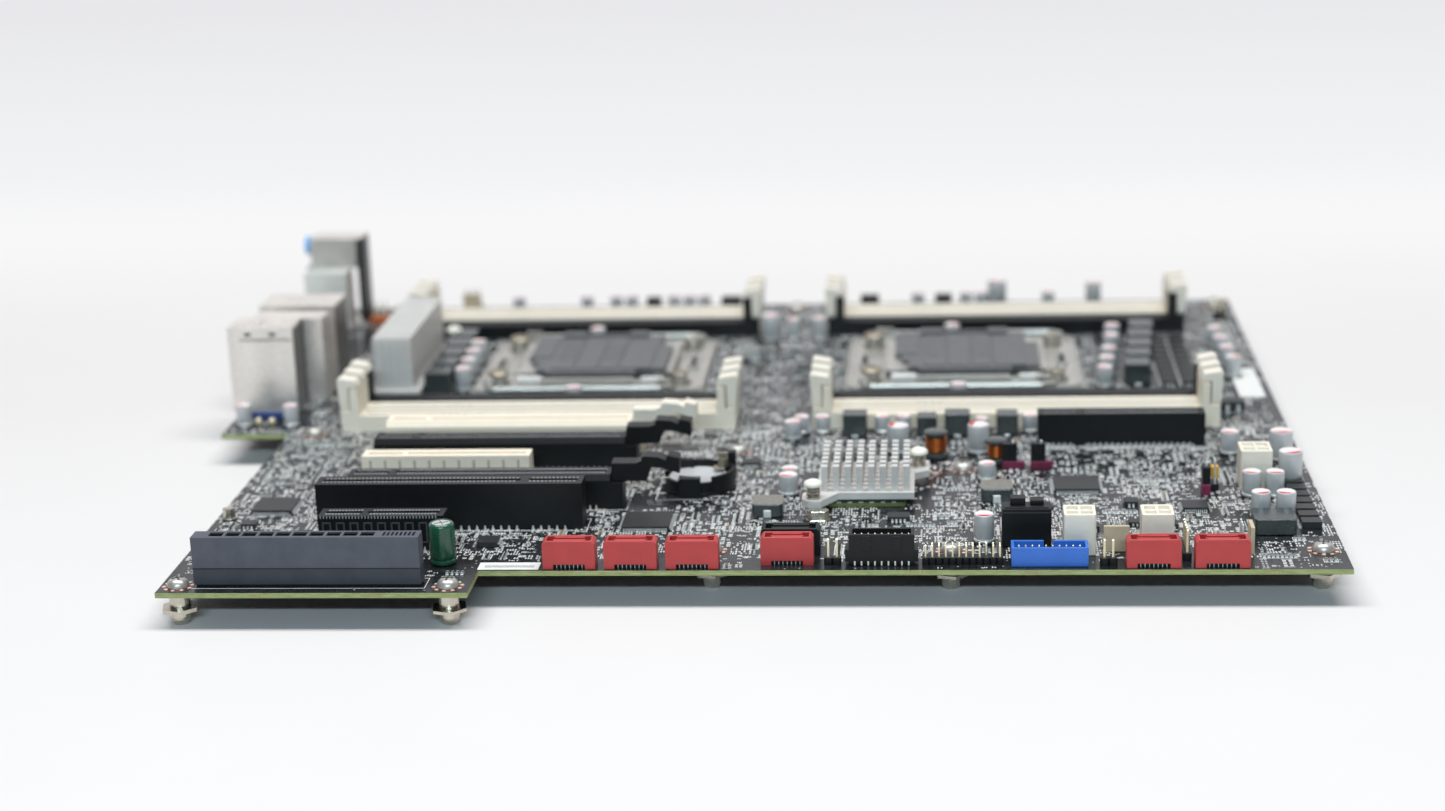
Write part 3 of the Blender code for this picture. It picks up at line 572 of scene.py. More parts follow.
def pin(shape, x, y, low, high, thick=0.64, slot=0):
    """A square header pin with a tapered tip."""
    half, tip = thick / 2, thick * 0.22
    points = []
    for z, r in ((low, half), (high - thick * 0.6, half), (high, tip)):
        points += [(x - r, y - r, z), (x + r, y - r, z), (x + r, y + r, z), (x - r, y + r, z)]
    faces = [(0, 3, 2, 1), (8, 9, 10, 11)]
    for level in (0, 4):
        for i in range(4):
            j = (i + 1) % 4
            faces.append((level + i, level + j, level + 4 + j, level + 4 + i))
    shape.add(points, faces, slot)


def header(name, x0, y0, columns, rows, pitch, base, tip, skip=()):
    """A black pin header: notched cells in one base bar, and pins through it, the first at (x0, y0)."""
    shape = Shape()
    half = pitch / 2
    for i in range(columns):
        x = x0 + i * pitch
        low, high = y0 - half, y0 + (rows - 1) * pitch + half
        shape.prism(rectangle(x - half, x + half, low, high, pitch * 0.16), 0.0, base)
        for j in range(rows):
            if (i, j) not in skip:
                pin(shape, x, y0 + j * pitch, 0.0, tip, 0.25 * pitch, 1)
    reserve(x0 - half, x0 + (columns - 0.5) * pitch, y0 - half, y0 + (rows - 0.5) * pitch)
    shape.build(name, [BLACK, GOLD])


# ---------------------------------------------------------------- keep the scattered parts off the big ones

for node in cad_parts:
    if node != "pcb" and not node.startswith(("standoff", "latch", "memory")):
        x0, x1, y0, y1, z0, z1 = grid_box(node)
        reserve(x0, x1, y0, y1, 0.9)
for centre, front in BANKS.values():
    for i in range(3):
        y = front + SOCKET_DEEP / 2 + i * SOCKET_PITCH
        reserve(centre - 72, centre + 72, y - SOCKET_DEEP / 2, y + SOCKET_DEEP / 2, 0.9)
HOLES = [
    (-88.2, -12.8), (-6.6, -13.2), (68.9, 17.5), (141.5, 16.5), (251.9, 16.5), (-84.1, 142.5),
    (69.6, 118.5), (146.1, 97.5), (251.9, 122.0), (-88.2, 318.0), (79.5, 318.0), (251.9, 318.0),
]
for x, y in HOLES:
    reserve(x - 5.2, x + 5.2, y - 5.2, y + 5.2)


# ---------------------------------------------------------------- materials and edges of the CAD nodes

def dress(node, materials, bevel=0.0, segments=2):
    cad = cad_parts[node]
    for index, made in enumerate(materials):
        if index < len(cad.material_slots):
            cad.material_slots[index].material = made
    if not cad.material_slots:
        cad.data.materials.append(materials[0])
    if bevel:
        soften(cad, bevel, segments)


BANK_MATERIAL = {}
for bank, (centre, front) in BANKS.items():
    dark = 2 if bank.startswith("front") else 0
    y = front + dark * SOCKET_PITCH - 1.2
    low, high = (GRID.y + y * MM), (GRID.y + (y + SOCKET_DEEP + 2.4) * MM)
    BANK_MATERIAL[bank] = bank_material("bank_" + bank, low, high)

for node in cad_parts:
    if node == "pcb":
        dress(node, [MASK])
    elif node.startswith("standoff"):
        dress(node, [NICKEL], 0.25)
    elif node.startswith("memory_bank"):
        dress(node, [BANK_MATERIAL[node[len("memory_bank_"):]]], 0.16, 1)
    elif node.startswith("latch"):
        dress(node, [CREAM], 0.22)
    elif node.startswith("cpu"):
        dress(node, [COVER if node.endswith("cover") else STEEL], 0.0 if "lever" in node else 0.2)
    elif node.startswith("card_latch"):
        dress(node, [CREAM if node.endswith("6") else BLACK], 0.35)
    elif node.startswith(("slot", "riser")):
        dress(node, [IVORY if node in IVORY_SLOTS else BLACK], 0.2, 1)
    elif node == "power_connector":
        dress(node, [SLATE], 0.22, 1)
    elif node in ("vrm_heatsink", "chipset_heatsink"):
        dress(node, [FINS], 0.25, 1)
    elif node == "battery_holder":
        dress(node, [BLACK], 0.25, 1)
    else:
        dress(node, [SHIELD], 0.35)


# ---------------------------------------------------------------- screws, standoffs, board edge

def make_screw(x, y, index):
    """A domed cross screw on a star of solder dots on bare copper around its hole."""
    shape = Shape()
    shape.prism(disc(x, y, 4.9, 28), 0.0, 0.05, 1)
    for i in range(10):
        angle = math.pi * i / 5 + 0.2
        cx, cy = x + 4.2 * math.cos(angle), y + 4.2 * math.sin(angle)
        shape.prism(disc(cx, cy, 0.62, 8), 0.0, 0.25, 2)
    shape.turned(x, y, [
        (0.0, 0.1), (3.3, 0.1), (3.35, 0.6), (3.2, 1.2), (2.8, 1.9), (2.2, 2.4), (1.4, 2.75), (0.0, 2.9),
    ], 0, 28)
    # the cross recess: dark grey bars on the dome, painted shade
    turn = 0.5 + index
    for k in range(2):
        c, s = math.cos(turn + k * math.pi / 2), math.sin(turn + k * math.pi / 2)
        line = [(-1.7, -0.3), (1.7, -0.3), (1.7, 0.3), (-1.7, 0.3)]
        shape.prism([(x + a * c - b * s, y + a * s + b * c) for a, b in line], 2.3, 2.92, 3)
    shape.build(f"screw_{index + 1}", [STEEL, COPPER, TIN, DARK_GREY])


for index, (x, y) in enumerate(HOLES):
    make_screw(x, y, index)


def make_extra_standoffs():
    """Standoffs under the middle of the front edge, of the same shape as those at the corners."""
    shape = Shape()
    for x, y in ((68.9, 17.5), (141.5, 16.5), (-6.6, -13.2)):
        shape.turned(x, y, [
            (0.0, -11.6), (1.6, -11.6), (2.2, -11.2), (2.7, -10.6),
            (3.0, -9.8), (3.1, -9.0), (3.1, -1.7), (0.0, -1.7),
        ], 0, 24)
        shape.prism(disc(x, y, 5.8, 6, math.radians(-76)), -7.3, -6.1)
    shape.build("middle_standoffs", [NICKEL], bevel=0.15)


make_extra_standoffs()


def make_edge_tabs():
    """Groups of bare plated ticks on the front edge of the laminate."""
    shape = Shape()
    groups = [(middle, 0.0) for middle in (26.0, 61.0, 96.0, 130.5, 165.5, 200.5, 235.5)]
    groups += [(-62.0, -TAB_DEEP), (-28.0, -TAB_DEEP)]
    for middle, edge in groups:
        for i in range(5):
            x = middle + (i - 2) * 1.2
            shape.box(x - 0.2, x + 0.2, edge - 0.05, edge + 0.5, -1.2, -0.1)
    shape.build("edge_tabs", [PLATING])


make_edge_tabs()


# ---------------------------------------------------------------- memory sockets

def make_bank_details():
    """Contact rows in each groove, end pegs, and the raised bar along the front of each bank's first socket.
    """
    for bank, (centre, front) in BANKS.items():
        shape = Shape()
        dark = 2 if bank.startswith("front") else 0
        for i in range(3):
            y = front + SOCKET_DEEP / 2 + i * SOCKET_PITCH
            plastic = 2 if i == dark else 1
            for side in (-1, 1):
                for k in range(1, 60):
                    for half in (-1, 1):
                        x = centre + half * (2.0 + k * 1.03)
                        shape.box(x - 0.26, x + 0.26, y + side * 0.62, y + side * 0.92, 2.6, 5.6)
            near = front + i * SOCKET_PITCH
            if i == 0:
                bar = rectangle(centre - 53.0, centre + 37.0, near - 1.0, near + 0.2, 0.4)
                shape.prism(bar, 0.4, 5.6, plastic)
            for k in range(4):
                x = centre - 34.0 + k * 2.6
                shape.prism(disc(x, near + 1.9, 0.4, 8), 5.96, 6.03, 3)
            for half in (-1, 1):
                x = centre + half * 62.6
                shape.block(x, y, 1.2, SOCKET_DEEP * 0.55, 5.9, 6.5, plastic)
        shape.build(f"bank_details_{bank}", [CONTACTS, IVORY, BLACK, DARK_GREY])


make_bank_details()


def make_latch_details():
    """Fine ribs across the outer side of each latch's thumb end."""
    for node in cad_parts:
        if not node.startswith("latch"):
            continue
        x0, x1, y0, y1, _, z1 = grid_box(node)
        outer, side = (x0, 1) if node.endswith("_l") else (x1, -1)
        shape = Shape()
        for z in (z1 - 1.6, z1 - 2.8, z1 - 4.0):
            shape.box(outer - 0.15 * side, outer + 0.5 * side, y0 + 1.0, y1 - 1.0, z, z + 0.5)
        shape.build(node + "_ribs", [CREAM], node, 0.1)


make_latch_details()


# ---------------------------------------------------------------- processor sockets

def make_cpu_details(side):
    x, y = CPUS[side]
    x0, x1, y0, y1, _, top = grid_box(f"cpu_{side}_cover")
    cover = Shape()
    # a raised panel with sloping grooves, and clips along the back edge
    starts = (x0 + 10.5, x0 + 19.8, x0 + 28.8, x0 + 36.8)
    ends = (x0 + 19.0, x0 + 28.0, x0 + 36.0, x1 - 5.5)
    for low, high in zip(starts, ends):
        cover.prism(rectangle(low, high, y0 + 3.4, y1 - 6.5, 0.6), top - 0.1, top + 0.5)
    for k in range(3):
        for start in (x0 + 12.0, x0 + 29.5):
            at_x = start + k * 2.2
            cover.box(at_x, at_x + 0.9, y - 10.0, y + 12.0, top + 0.4, top + 0.85)
    for near, far in ((x0 + 9.5, x0 + 18.5), (x0 + 35.5, x0 + 43.0)):
        cover.box(near, far, y1 - 5.0, y1 + 0.6, top - 0.1, top + 1.6)
    cover.box(x0 + 18.0, x0 + 36.0, y1 - 2.2, y1 - 0.4, top - 0.1, top + 1.1)
    cover.box(x0 + 0.8, x0 + 8.6, y - 6.0, y1 - 1.0, top - 0.1, top + 0.4)
    cover.build(f"cpu_{side}_cover_ribs", [COVER], f"cpu_{side}_plate", 0.2)

    lip = Shape()
    # the plate's folded front lip with its two bright catches, and a fold along each side
    lip.boxes(
        (x - 20.5, x + 17.0, y - 29.2, y - 26.9, 3.2, 4.9),
        (x - 26.8, x - 17.6, y - 31.2, y - 27.0, 3.0, 5.6, 1),
        (x + 20.2, x + 28.6, y - 31.2, y - 28.8, 3.0, 5.6, 1),
        (x - 29.4, x - 28.4, y - 18.0, y + 18.0, 4.4, 6.0),
        (x + 29.2, x + 30.6, y - 19.0, y + 19.0, 5.2, 6.0),
    )
    lip.build(f"cpu_{side}_plate_lips", [STEEL, BRIGHT], f"cpu_{side}_plate", 0.2)

    studs = Shape()
    for i in (-1, 1):
        for j in (-1, 1):
            cx, cy = x + i * STUD_X, y + j * STUD_Y
            # the domes on the hinge side are lower and narrower, to clear the plate as it swings up
            wide, tall = (0.74, 0.5) if i > 0 else (1.0, 1.0)
            profile = ((0.0, 0.0), (3.1, 0.0), (4.1, 0.4), (4.2, 1.0), (3.7, 1.7), (2.4, 2.2), (0.0, 2.3))
            studs.turned(cx, cy, [(r * wide, 5.3 + z * tall) for r, z in profile], 0, 28)
            studs.ring(disc(cx, cy, 4.4, 24), disc(cx, cy, 3.3, 24), 1.9, 2.7)
            studs.block(cx, cy, 2.8 * wide, 0.6, 5.3 + 2.1 * tall, 5.34 + 2.3 * tall, 1)
    studs.build(f"cpu_{side}_studs", [STUD, DARK_GREY])

    base = Shape()
    # hinge eyes that hold each lever, and the folded catch at the end of each arm
    for lever in (-1, 1):
        px = x + lever * LEVER_X
        for offset in (5.6, 8.1):
            yy = y + lever * (38.2 - offset) + lever * 0.6
            walls = ((-2.0, -1.3, 1.9, 4.6), (1.3, 2.0, 1.9, 4.6), (-2.0, 2.0, 4.6, 5.3))
            for left, right, low, high in walls:
                base.box(px + left, px + right, yy - 0.55, yy + 0.55, low, high)
        tip = x + lever * (LEVER_X - 66.0)
        edge = y + lever * 36.0
        base.box(tip - 2.4, tip + 2.4, edge - lever * 2.4, edge - lever * 1.6, 1.8, 6.4)
        base.box(tip - 2.4, tip + 2.4, edge - lever * 2.4, edge + lever * 0.4, 5.7, 6.4)
    # the raised rim, and long slots pressed in the plate beside the studs
    base.ring(rectangle(x - 43.0, x + 43.0, y - 35.6, y + 35.6, 2.5),
              rectangle(x - 41.8, x + 41.8, y - 34.4, y + 34.4, 2.2), 1.9, 2.7)
    for i in (-1, 1):
        cx = x + i * 37.2
        base.ring(rectangle(cx - 1.9, cx + 1.9, y - 8.0, y + 8.0, 1.2),
                  rectangle(cx - 1.1, cx + 1.1, y - 7.2, y + 7.2, 0.8), 1.9, 3.4)
        base.box(cx - 1.1, cx + 1.1, y - 7.2, y + 7.2, 1.9, 2.05, 1)
    base.build(f"cpu_{side}_frame_details", [STEEL, BLACK], bevel=0.12)

    seat = Shape()
    contacts, pitch = 31, 1.3
    for i in range(contacts):
        for j in range(contacts):
            cx, cy = i * pitch, j * pitch
            seat.box(x - 19.5 + cx, x - 19.1 + cx, y - 19.5 + cy, y - 18.9 + cy, 2.55, 2.95, 1)
    seat.ring(rectangle(x - 24.6, x + 24.6, y - 25.6, y + 25.6, 1.0),
              rectangle(x - 22.4, x + 22.4, y - 23.4, y + 23.4, 0.8), 3.9, 4.15)
    seat.build(f"cpu_{side}_seat", [BLACK, GOLD])


for side in CPUS:
    make_cpu_details(side)


# ---------------------------------------------------------------- card slots

def make_slot_details():
    """Contact slits beside each groove, marks along the walls and solder feet in front; the marks on the
    black slots are light grey, a painted highlight.
    """
    for node in SLOTS:
        x0, x1, y0, y1, _, z1 = grid_box(node)
        latched = node.endswith("x16")
        if latched:
            x1, y0 = x0 + LONG_SLOT_RIDGE, y0 + 1.2
        light = node in IVORY_SLOTS
        y = (y0 + y1) / 2
        shape = Shape()
        pci = node == "slot_2_pci"
        tooth, tail = (FINE_PITCH, PIN_PITCH) if pci else (1.0, 2.0)
        key = (65.0, 67.6) if pci else (13.2, 15.0)
        for k in range(int((x1 - x0 - 3.4) / tooth)):
            x = x0 + 2.2 + k * tooth
            if key[0] - 0.6 < x - x0 < key[1] + 0.4:
                continue
            for edge in (-1, 1):
                shape.box(x - 0.22, x + 0.22, y + edge * 0.66, y + edge * 0.98, 4.0, z1 - 0.5, 1)
                # on the black slots these marks are light grey: painted highlight on the teeth
                near, far = (1.05, 2.4) if light else (1.3, 2.15)
                mark = x + (0.0 if edge < 0 else tooth / 2)
                shape.box(mark - 0.3, mark + 0.3, y + edge * near, y + edge * far, z1 - 0.02, z1 + 0.06, 2)
        if light:
            # a low ledge along both edges of the top
            for wall, inner in ((y0, y0 + 0.2), (y1, y1 - 0.2)):
                shape.box(x0 + 0.4, x1 - 0.4, wall, inner, z1 - 0.02, z1 + 0.08)
        # windows along the front wall of the shortest slot and light grey lines of painted highlight along
        # its top, fine darker lines of painted groove shade on the short ivory one
        if node == "slot_1_x4":
            for k in range(int((x1 - x0 - 3.0) / 4.3)):
                x = x0 + 1.2 + k * 4.3
                for left, right, low, high in (
                    (0.0, 0.45, 2.6, 9.2), (2.3, 2.75, 2.6, 9.2), (0.3, 2.4, 8.8, 9.2), (0.3, 2.4, 2.6, 3.0),
                ):
                    shape.box(x + left, x + right, y0 - 0.3, y0 + 0.1, low, high, 3)
            # light grey lines along the top of the front wall: painted highlight on the teeth
            for k in range(int(x1 - x0 - 1.0)):
                x = x0 + 0.8 + k
                shape.box(x - 0.15, x + 0.15, y0 - 0.25, y0 + 0.1, z1 - 0.8, z1 - 0.05, 2)
        elif node == "slot_4_x8":
            # lines of painted groove shade down the front wall
            for k in range(11):
                x = x0 + 3.0 + k * 4.95
                shape.box(x - 0.35, x + 0.35, y0 - 0.05, y0 + 0.1, 0.3, z1 - 1.4, 3)
        rows = ((y0 - 1.1 - (1.2 if latched else 0.0), 0.0),)
        if node == "riser_slot":
            rows = ((y0 - 1.5, 0.0), (y0 - 3.2, 1.0))
        for row, shift in rows:
            for k in range(int((x1 - x0 - 5) / tail)):
                x = x0 + 3 + shift + k * tail
                if abs(x - x0 - (key[0] + key[1]) / 2) < tail * 0.6:
                    continue
                shape.turned(x, row, [(0.0, 0.0), (0.62, 0.0), (0.36, 0.6), (0.2, 1.5), (0.0, 1.6)], 4, 8)
            shape.box(x0 + 1.0, x1 - 1.0, row - 0.95, row - 0.75, 0.0, INK, 5)
        # fourth material on the ivory slots is painted groove shade, third on the black slots painted
        # highlight
        plastic = (IVORY, IVORY, IVORY, GROOVE_SHADE) if light else (BLACK, DARK_GREY, TOOTH_HIGHLIGHT, DARK_GREY)
        shape.build(f"{node}_details", [*plastic, TIN, SILK])


make_slot_details()


def make_card_latch_pads():
    """Ribs on each thumb tab, and the line where the hook block meets the arm."""
    for number in (3, 5, 6):
        x0, x1, y0, y1 = grid_box(f"card_latch_{number}")[:4]
        shape = Shape()
        for k in range(3):
            x = x1 - 0.9 - k * 1.1
            shape.box(x - 0.25, x + 0.25, y0 + 0.5, y1 - 0.5, 16.0 + 0.25 * k, 16.6 + 0.25 * k)
        shape.box(x0 + 0.6, x0 + 8.2, y0 - 0.12, y0 + 0.1, 14.2, 14.5)
        plastic = CREAM if number == 6 else BLACK
        shape.build(f"card_latch_{number}_grip", [plastic], f"card_latch_{number}", 0.1)
        reserve(x0 - 1, x1 + 1, y0 - 1.0, y1 + 1.0)


make_card_latch_pads()


# ---------------------------------------------------------------- heatsinks, battery, power connector

def make_heatsink_details():
    z1 = grid_box("vrm_heatsink")[5]
    left, right, front = -71.6, -57.2, 188.0
    shape = Shape()
    for k in range(20):
        y = front + 1.4 + k * 3.08
        shape.box(left + 0.6, right - 0.6, y - 0.35, y + 0.35, z1 - 0.1, z1 + 0.5)
    for k in range(5):
        x = left + 1.9 + k * 2.65
        shape.box(x - 0.5, x + 0.5, front - 0.35, front + 0.1, 4.4, z1 - 0.8)
    shape.build("vrm_heatsink_fins", [FINS], bevel=0.1)
    pins = Shape()
    for x, y, z in ((-76.6, 192.6, 3.4), (-54.7, 259.0, 3.4), (98.4, 53.2, 5.0), (131.5, 86.5, 5.0)):
        for k in range(4):
            zz = z + 0.1 + k * 1.05
            pins.ring(disc(x, y, 2.3, 20, 0.2 * k), disc(x, y, 1.75, 20, 0.2 * k), zz, zz + 0.5, 1)
        pins.turned(x, y, [(0.0, z - 2.4), (1.2, z - 2.4), (1.2, z + 4.0), (3.0, z + 4.1), (3.1, z + 4.6),
                           (2.7, z + 5.4), (1.5, z + 6.0), (0.0, z + 6.1)], 0, 24)
        reserve(x - 3.4, x + 3.4, y - 3.4, y + 3.4)
    pins.build("heatsink_push_pins", [WHITE, NICKEL])
    base = Shape()
    base.prism(rectangle(101.0, 127.5, 58.6, 86.0, 0.6), 0.15, 1.3)
    base.prism(rectangle(101.5, 127.0, 59.2, 85.0, 0.6), 1.2, 2.2, 1)
    for k in range(7):
        base.box(102.0 + k * 3.5, 103.4 + k * 3.5, 58.9, 59.6, 1.25, 1.6, 2)
    base.build("chipset_package", [SUBSTRATE, PACKAGE, TIN])
    reserve(98.0, 132.0, 56.5, 92.0)


make_heatsink_details()


def make_battery():
    x, y = 59.4, 81.0
    cell = Shape()
    cell.turned(x, y, [
        (0.0, 1.5), (8.9, 1.5), (9.6, 1.9), (9.8, 2.3), (9.8, 3.5), (9.6, 3.8), (9.1, 3.9),
        (8.2, 3.92), (8.0, 3.82), (0.0, 3.84),
    ], 0, 48)
    cell.build("coin_cell", [CAN])
    holder = Shape()
    holder.box(x + 6.8, x + 11.8, y + 6.4, y + 9.6, 0.3, 9.6)
    holder.box(x - 8.0, x - 2.2, y + 7.6, y + 9.8, 0.3, 6.8)
    holder.ring(disc(x, y, 12.2, 40), disc(x, y, 11.5, 40), 0.1, 1.2)
    # the rim stands taller along the right and round the back
    for start, end, high in ((-1.1, 0.5, 6.4), (0.9, 2.2, 5.8)):
        turns = np.linspace(start, end, 13)
        rim = [(x + 12.0 * math.cos(t), y + 12.0 * math.sin(t)) for t in turns]
        rim += [(x + 10.7 * math.cos(t), y + 10.7 * math.sin(t)) for t in reversed(turns)]
        holder.prism(rim, 1.0, high)
    holder.build("battery_holder_blocks", [BLACK], bevel=0.25)
    clip = Shape()
    clip.box(x + 6.0, x + 9.4, y + 5.4, y + 6.2, 4.9, 9.8)
    clip.box(x + 4.6, x + 8.4, y + 2.2, y + 6.0, 4.9, 5.3)
    clip.ring(disc(x + 7.7, y + 5.0, 1.5, 14), disc(x + 7.7, y + 5.0, 0.9, 14), 5.3, 8.2)
    for z in (2.2, 3.6):
        clip.box(x - 11.9, x - 9.4, y - 4.4, y - 3.6, z, z + 0.8, 1)
    clip.build("battery_contacts", [STUD, BRIGHT], bevel=0.1)
    reserve(x - 14, x + 14, y - 14, y + 13)


make_battery()


def make_power_details():
    left, right, front, back, high = -83.1, -14.6, -13.5, -7.4, 15.5
    cell_pitch, cell_count = 5.08, 10
    shape = Shape()
    # painted shade: a black line for the shallow groove across the front, and black inside the cells
    shape.box(left + 0.1, right - 0.1, front - 0.06, front + 0.1, 5.65, 5.95, 1)
    shape.box(left + 0.6, right - 0.6, front + 0.5, front + 1.5, 0.0, 0.9, 1)
    for k in range(cell_count):
        x = left + 5.0 + k * cell_pitch
        shape.ring(rectangle(x + 0.02, x + 4.16, front + 1.62, back - 1.12),
                   rectangle(x + 0.2, x + 4.0, front + 1.8, back - 1.3), 4.1, high - 0.5, 1)
        shape.box(x + 0.1, x + 4.1, front + 1.7, back - 1.2, 4.05, 4.4, 1)
        for mid in (1.1, 2.9):
            shape.box(x + mid - 0.35, x + mid + 0.35, front + 2.4, back - 1.9, 4.3, 10.5, 2)
    # black inside a row of narrow wells beside the cells: painted shade
    for k in range(8):
        x = left + 5.0 + cell_count * cell_pitch + 1.6 + k * FINE_PITCH
        shape.box(x + 0.03, x + 0.69, front + 1.65, back - 1.15, 4.05, high - 2.6, 1)
    shape.build("power_connector_details", [SLATE, BLACK, GOLD])
    reserve(left - 1, right + 1, front - 1, back + 1)


make_power_details()


# ---------------------------------------------------------------- rear connectors

def make_rear_details():
    shape = Shape()
    jacks = Shape()
    plane = grid_box("io_stack_front")[0]
    # tongues and contacts inside the mouths
    for y0, y1, z0, z1 in ((173.3, 185.2, 18.2, 29.6), (211.1, 226.7, 16.4, 28.2)):
        inset = 2.2 if y0 > 200 else 0.0
        jacks.box(plane + 5.0, plane + 8.9, y0 + 0.3, y1 - 0.3, z0 + 0.2, z1 - 0.2)
        for k in range(8):
            y = (y0 + y1) / 2 + (k - 3.5) * 1.02
            jacks.box(plane + inset + 1.2, plane + 5.2, y - 0.2, y + 0.2, z0 + 7.2, z0 + 7.6, 1)
    for y0, y1, z0, z1 in (
        (172.9, 185.6, 9.4, 15.0), (172.9, 185.6, 1.6, 7.2),
        (212.5, 225.3, 8.4, 14.0), (212.5, 225.3, 1.9, 7.5),
    ):
        inset = 2.2 if y0 > 200 else 0.0
        jacks.box(plane + inset + 1.0, plane + 8.9, y0 + 0.6, y1 - 0.6, z1 - 2.2, z1 - 0.4)
        for k in range(4):
            y = (y0 + y1) / 2 + (k - 1.5) * 2.3
            jacks.box(plane + inset + 1.6, plane + 8.0, y - 0.5, y + 0.5, z1 - 2.45, z1 - 2.15, 1)
    jacks.build("rear_jack_cores", [BLACK, GOLD])
    # front stack: two slits near the top of the front wall and a fold line, both drawn black as painted
    # shade, raised panels on top, the shaded edge of its right wall, and a blue header and round contacts at
    # its foot
    for x in (-115.2, -106.0):
        shape.box(x, x + 2.6, 171.46, 171.7, 28.9, 30.1, 1)
    shape.box(-117.0, -98.0, 171.42, 171.6, 27.2, 27.7, 1)
    shape.box(-119.5, -99.0, 173.5, 185.2, 31.9, 32.3)
    for k in range(2):
        shape.box(-114.0 + k * 8, -110.0 + k * 8, 176.0, 182.0, 32.2, 32.7)
    shape.boxes(
        (-97.3, -96.9, 172.5, 184.0, 1.0, 31.0, 4), (-97.3, -96.8, 184.0, 187.2, 0.6, 31.4, 1),
        (-111.6, -99.6, 160.4, 162.6, 0.3, 2.8, 5),
    )
    for x in (-108.0, -103.0):
        shape.turned(x, 156.0, [(0.0, 0.1), (1.3, 0.1), (1.4, 1.2), (0.9, 2.2), (0.0, 2.5)], 6, 14)
    x0, x1, y0, y1, z0, z1 = grid_box("io_stack_middle")
    shape.boxes(
        (x0 + 2.0, x1 - 2.0, y0 + 2.0, y1 - 2.0, z1 - 0.1, z1 + 0.35),
        (x1 - 0.1, x1 + 0.3, y0 + 0.8, y1 - 0.8, 1.0, z1 - 1.0, 4),
        (-119.0, -92.5, y0 - 0.25, y0 + 0.1, 20.0, 20.5),
    )
    # the tall stack: a pale plug block in front with a green line, a dark plate at its right,
    # and a darker sheet of painted shade over the front of the part above the plug block
    shape.boxes(
        (-121.4, -103.9, 286.85, 287.1, 0.6, 22.8, 2), (-121.4, -103.9, 286.85, 287.1, 23.4, 24.9, 2),
        (-121.3, -104.0, 287.1, 296.8, 24.9, 25.2, 2), (-101.2, -98.6, 296.8, 309.2, 2.2, 37.45, 1),
        (-119.0, -105.0, 286.8, 286.95, 6.0, 7.0, 3), (-120.4, -98.9, 296.8, 297.1, 25.4, 37.4, 7),
    )
    shape.build("rear_shield_details", [SHIELD, BLACK, PALE, GREEN, SHADE, NAVY, GOLD, AUDIO_FRONT_SHADE],
                bevel=0.12)
    rings = Shape()
    for index, z in enumerate((8.6, 21.1, 33.6)):
        profile = [(2.3, -1.0), (3.9, -1.0), (3.9, 1.5), (3.6, 1.9), (2.5, 1.9), (2.3, 1.5)]
        outer, count, points, faces = 28, len(profile), [], []
        for i in range(outer):
            angle = 2 * math.pi * i / outer
            for radius, deep in profile:
                points.append((plane - deep, 303.0 + radius * math.cos(angle), z + radius * math.sin(angle)))
        for i in range(outer):
            for k in range(count):
                j, m = (i + 1) % outer, (k + 1) % count
                faces.append((i * count + k, i * count + m, j * count + m, j * count + k))
        rings.add(points, faces, index, True)
    rings.build("audio_jack_rings", [RED, GREEN, SKY])
    low = Shape()
    # two low shielded blocks between the stacks, in line with the others
    for y in (231.5, 247.5):
        low.boxes(
            (-121.4, -104.0, y, y + 13.0, 0.1, 15.8), (-121.55, -121.3, y + 1.0, y + 13.0, 8.6, 13.8, 1),
            (-121.55, -121.3, y + 1.0, y + 13.0, 1.8, 7.0, 1),
            (-119.0, -106.0, y + 2.0, y + 12.0, 15.7, 16.1),
        )
    low.build("rear_low_stacks", [SHIELD, BLACK], bevel=0.3)
    reserve(-122, -103, 230, 262)


make_rear_details()


# ---------------------------------------------------------------- headers and connectors on the front edge

def drive_socket(shape, x0, x1, front, back=None, high=8.9):
    """An upright data socket: a shell with an L-shaped tongue slot on top, open at the foot of its front."""
    back = back or front + 6.0
    wide = x1 - x0
    cut, rise = 0.9, 1.5
    left, right = x0 + wide * 0.2, x1 - wide * 0.2
    outer = [(x0, 0.0), (left, 0.0), (left, rise), (right, rise), (right, 0.0), (x1, 0.0),
             (x1, high - cut), (x1 - cut, high), (x0 + cut, high), (x0, high - cut)]
    wall = 1.0
    shape.side_prism(outer, front, front + wall)
    shape.side_prism(outer, back - wall, back)
    x2, x3 = x0 + 1.3, x1 - 1.3
    for side in (
        [(x0, 0.0), (x2, 0.0), (x2, high), (x0 + cut, high), (x0, high - cut)],
        [(x3, 0.0), (x1, 0.0), (x1, high - cut), (x1 - cut, high), (x3, high)],
    ):
        shape.side_prism(side, front + wall - 0.02, back - wall + 0.02)
    shape.box(x0 + 1.2, x1 - 1.2, front + wall - 0.02, back - wall + 0.02, 1.5, 4.6)
    middle = (front + back) / 2
    # the filled parts of the top leave a long slot with a round pocket at each end
    shape.boxes(
        (x0 + 3.4, x1 - 3.4, front + wall - 0.05, middle - 0.9, 4.5, high - 0.12),
        (x0 + 3.4, x1 - 3.4, middle + 1.2, back - wall + 0.05, 4.5, high - 0.12),
        (x0 + 3.0, x1 - 3.0, middle + 0.1, middle + 0.95, 4.5, high - 0.5),
    )
    for k in range(7):
        x = x0 + wide / 2 + (k - 3) * FINE_PITCH
        shape.box(x - 0.3, x + 0.3, middle - 0.1, middle + 0.12, 4.6, high - 0.9, 1)
        shape.box(x - 0.14, x + 0.14, front + 0.9, front + 1.2, 0.0, 1.2, 2)
    shape.box(left, right, front + 1.4, front + 1.9, 0.05, 1.55, 3)
    reserve(x0, x1, front, back)


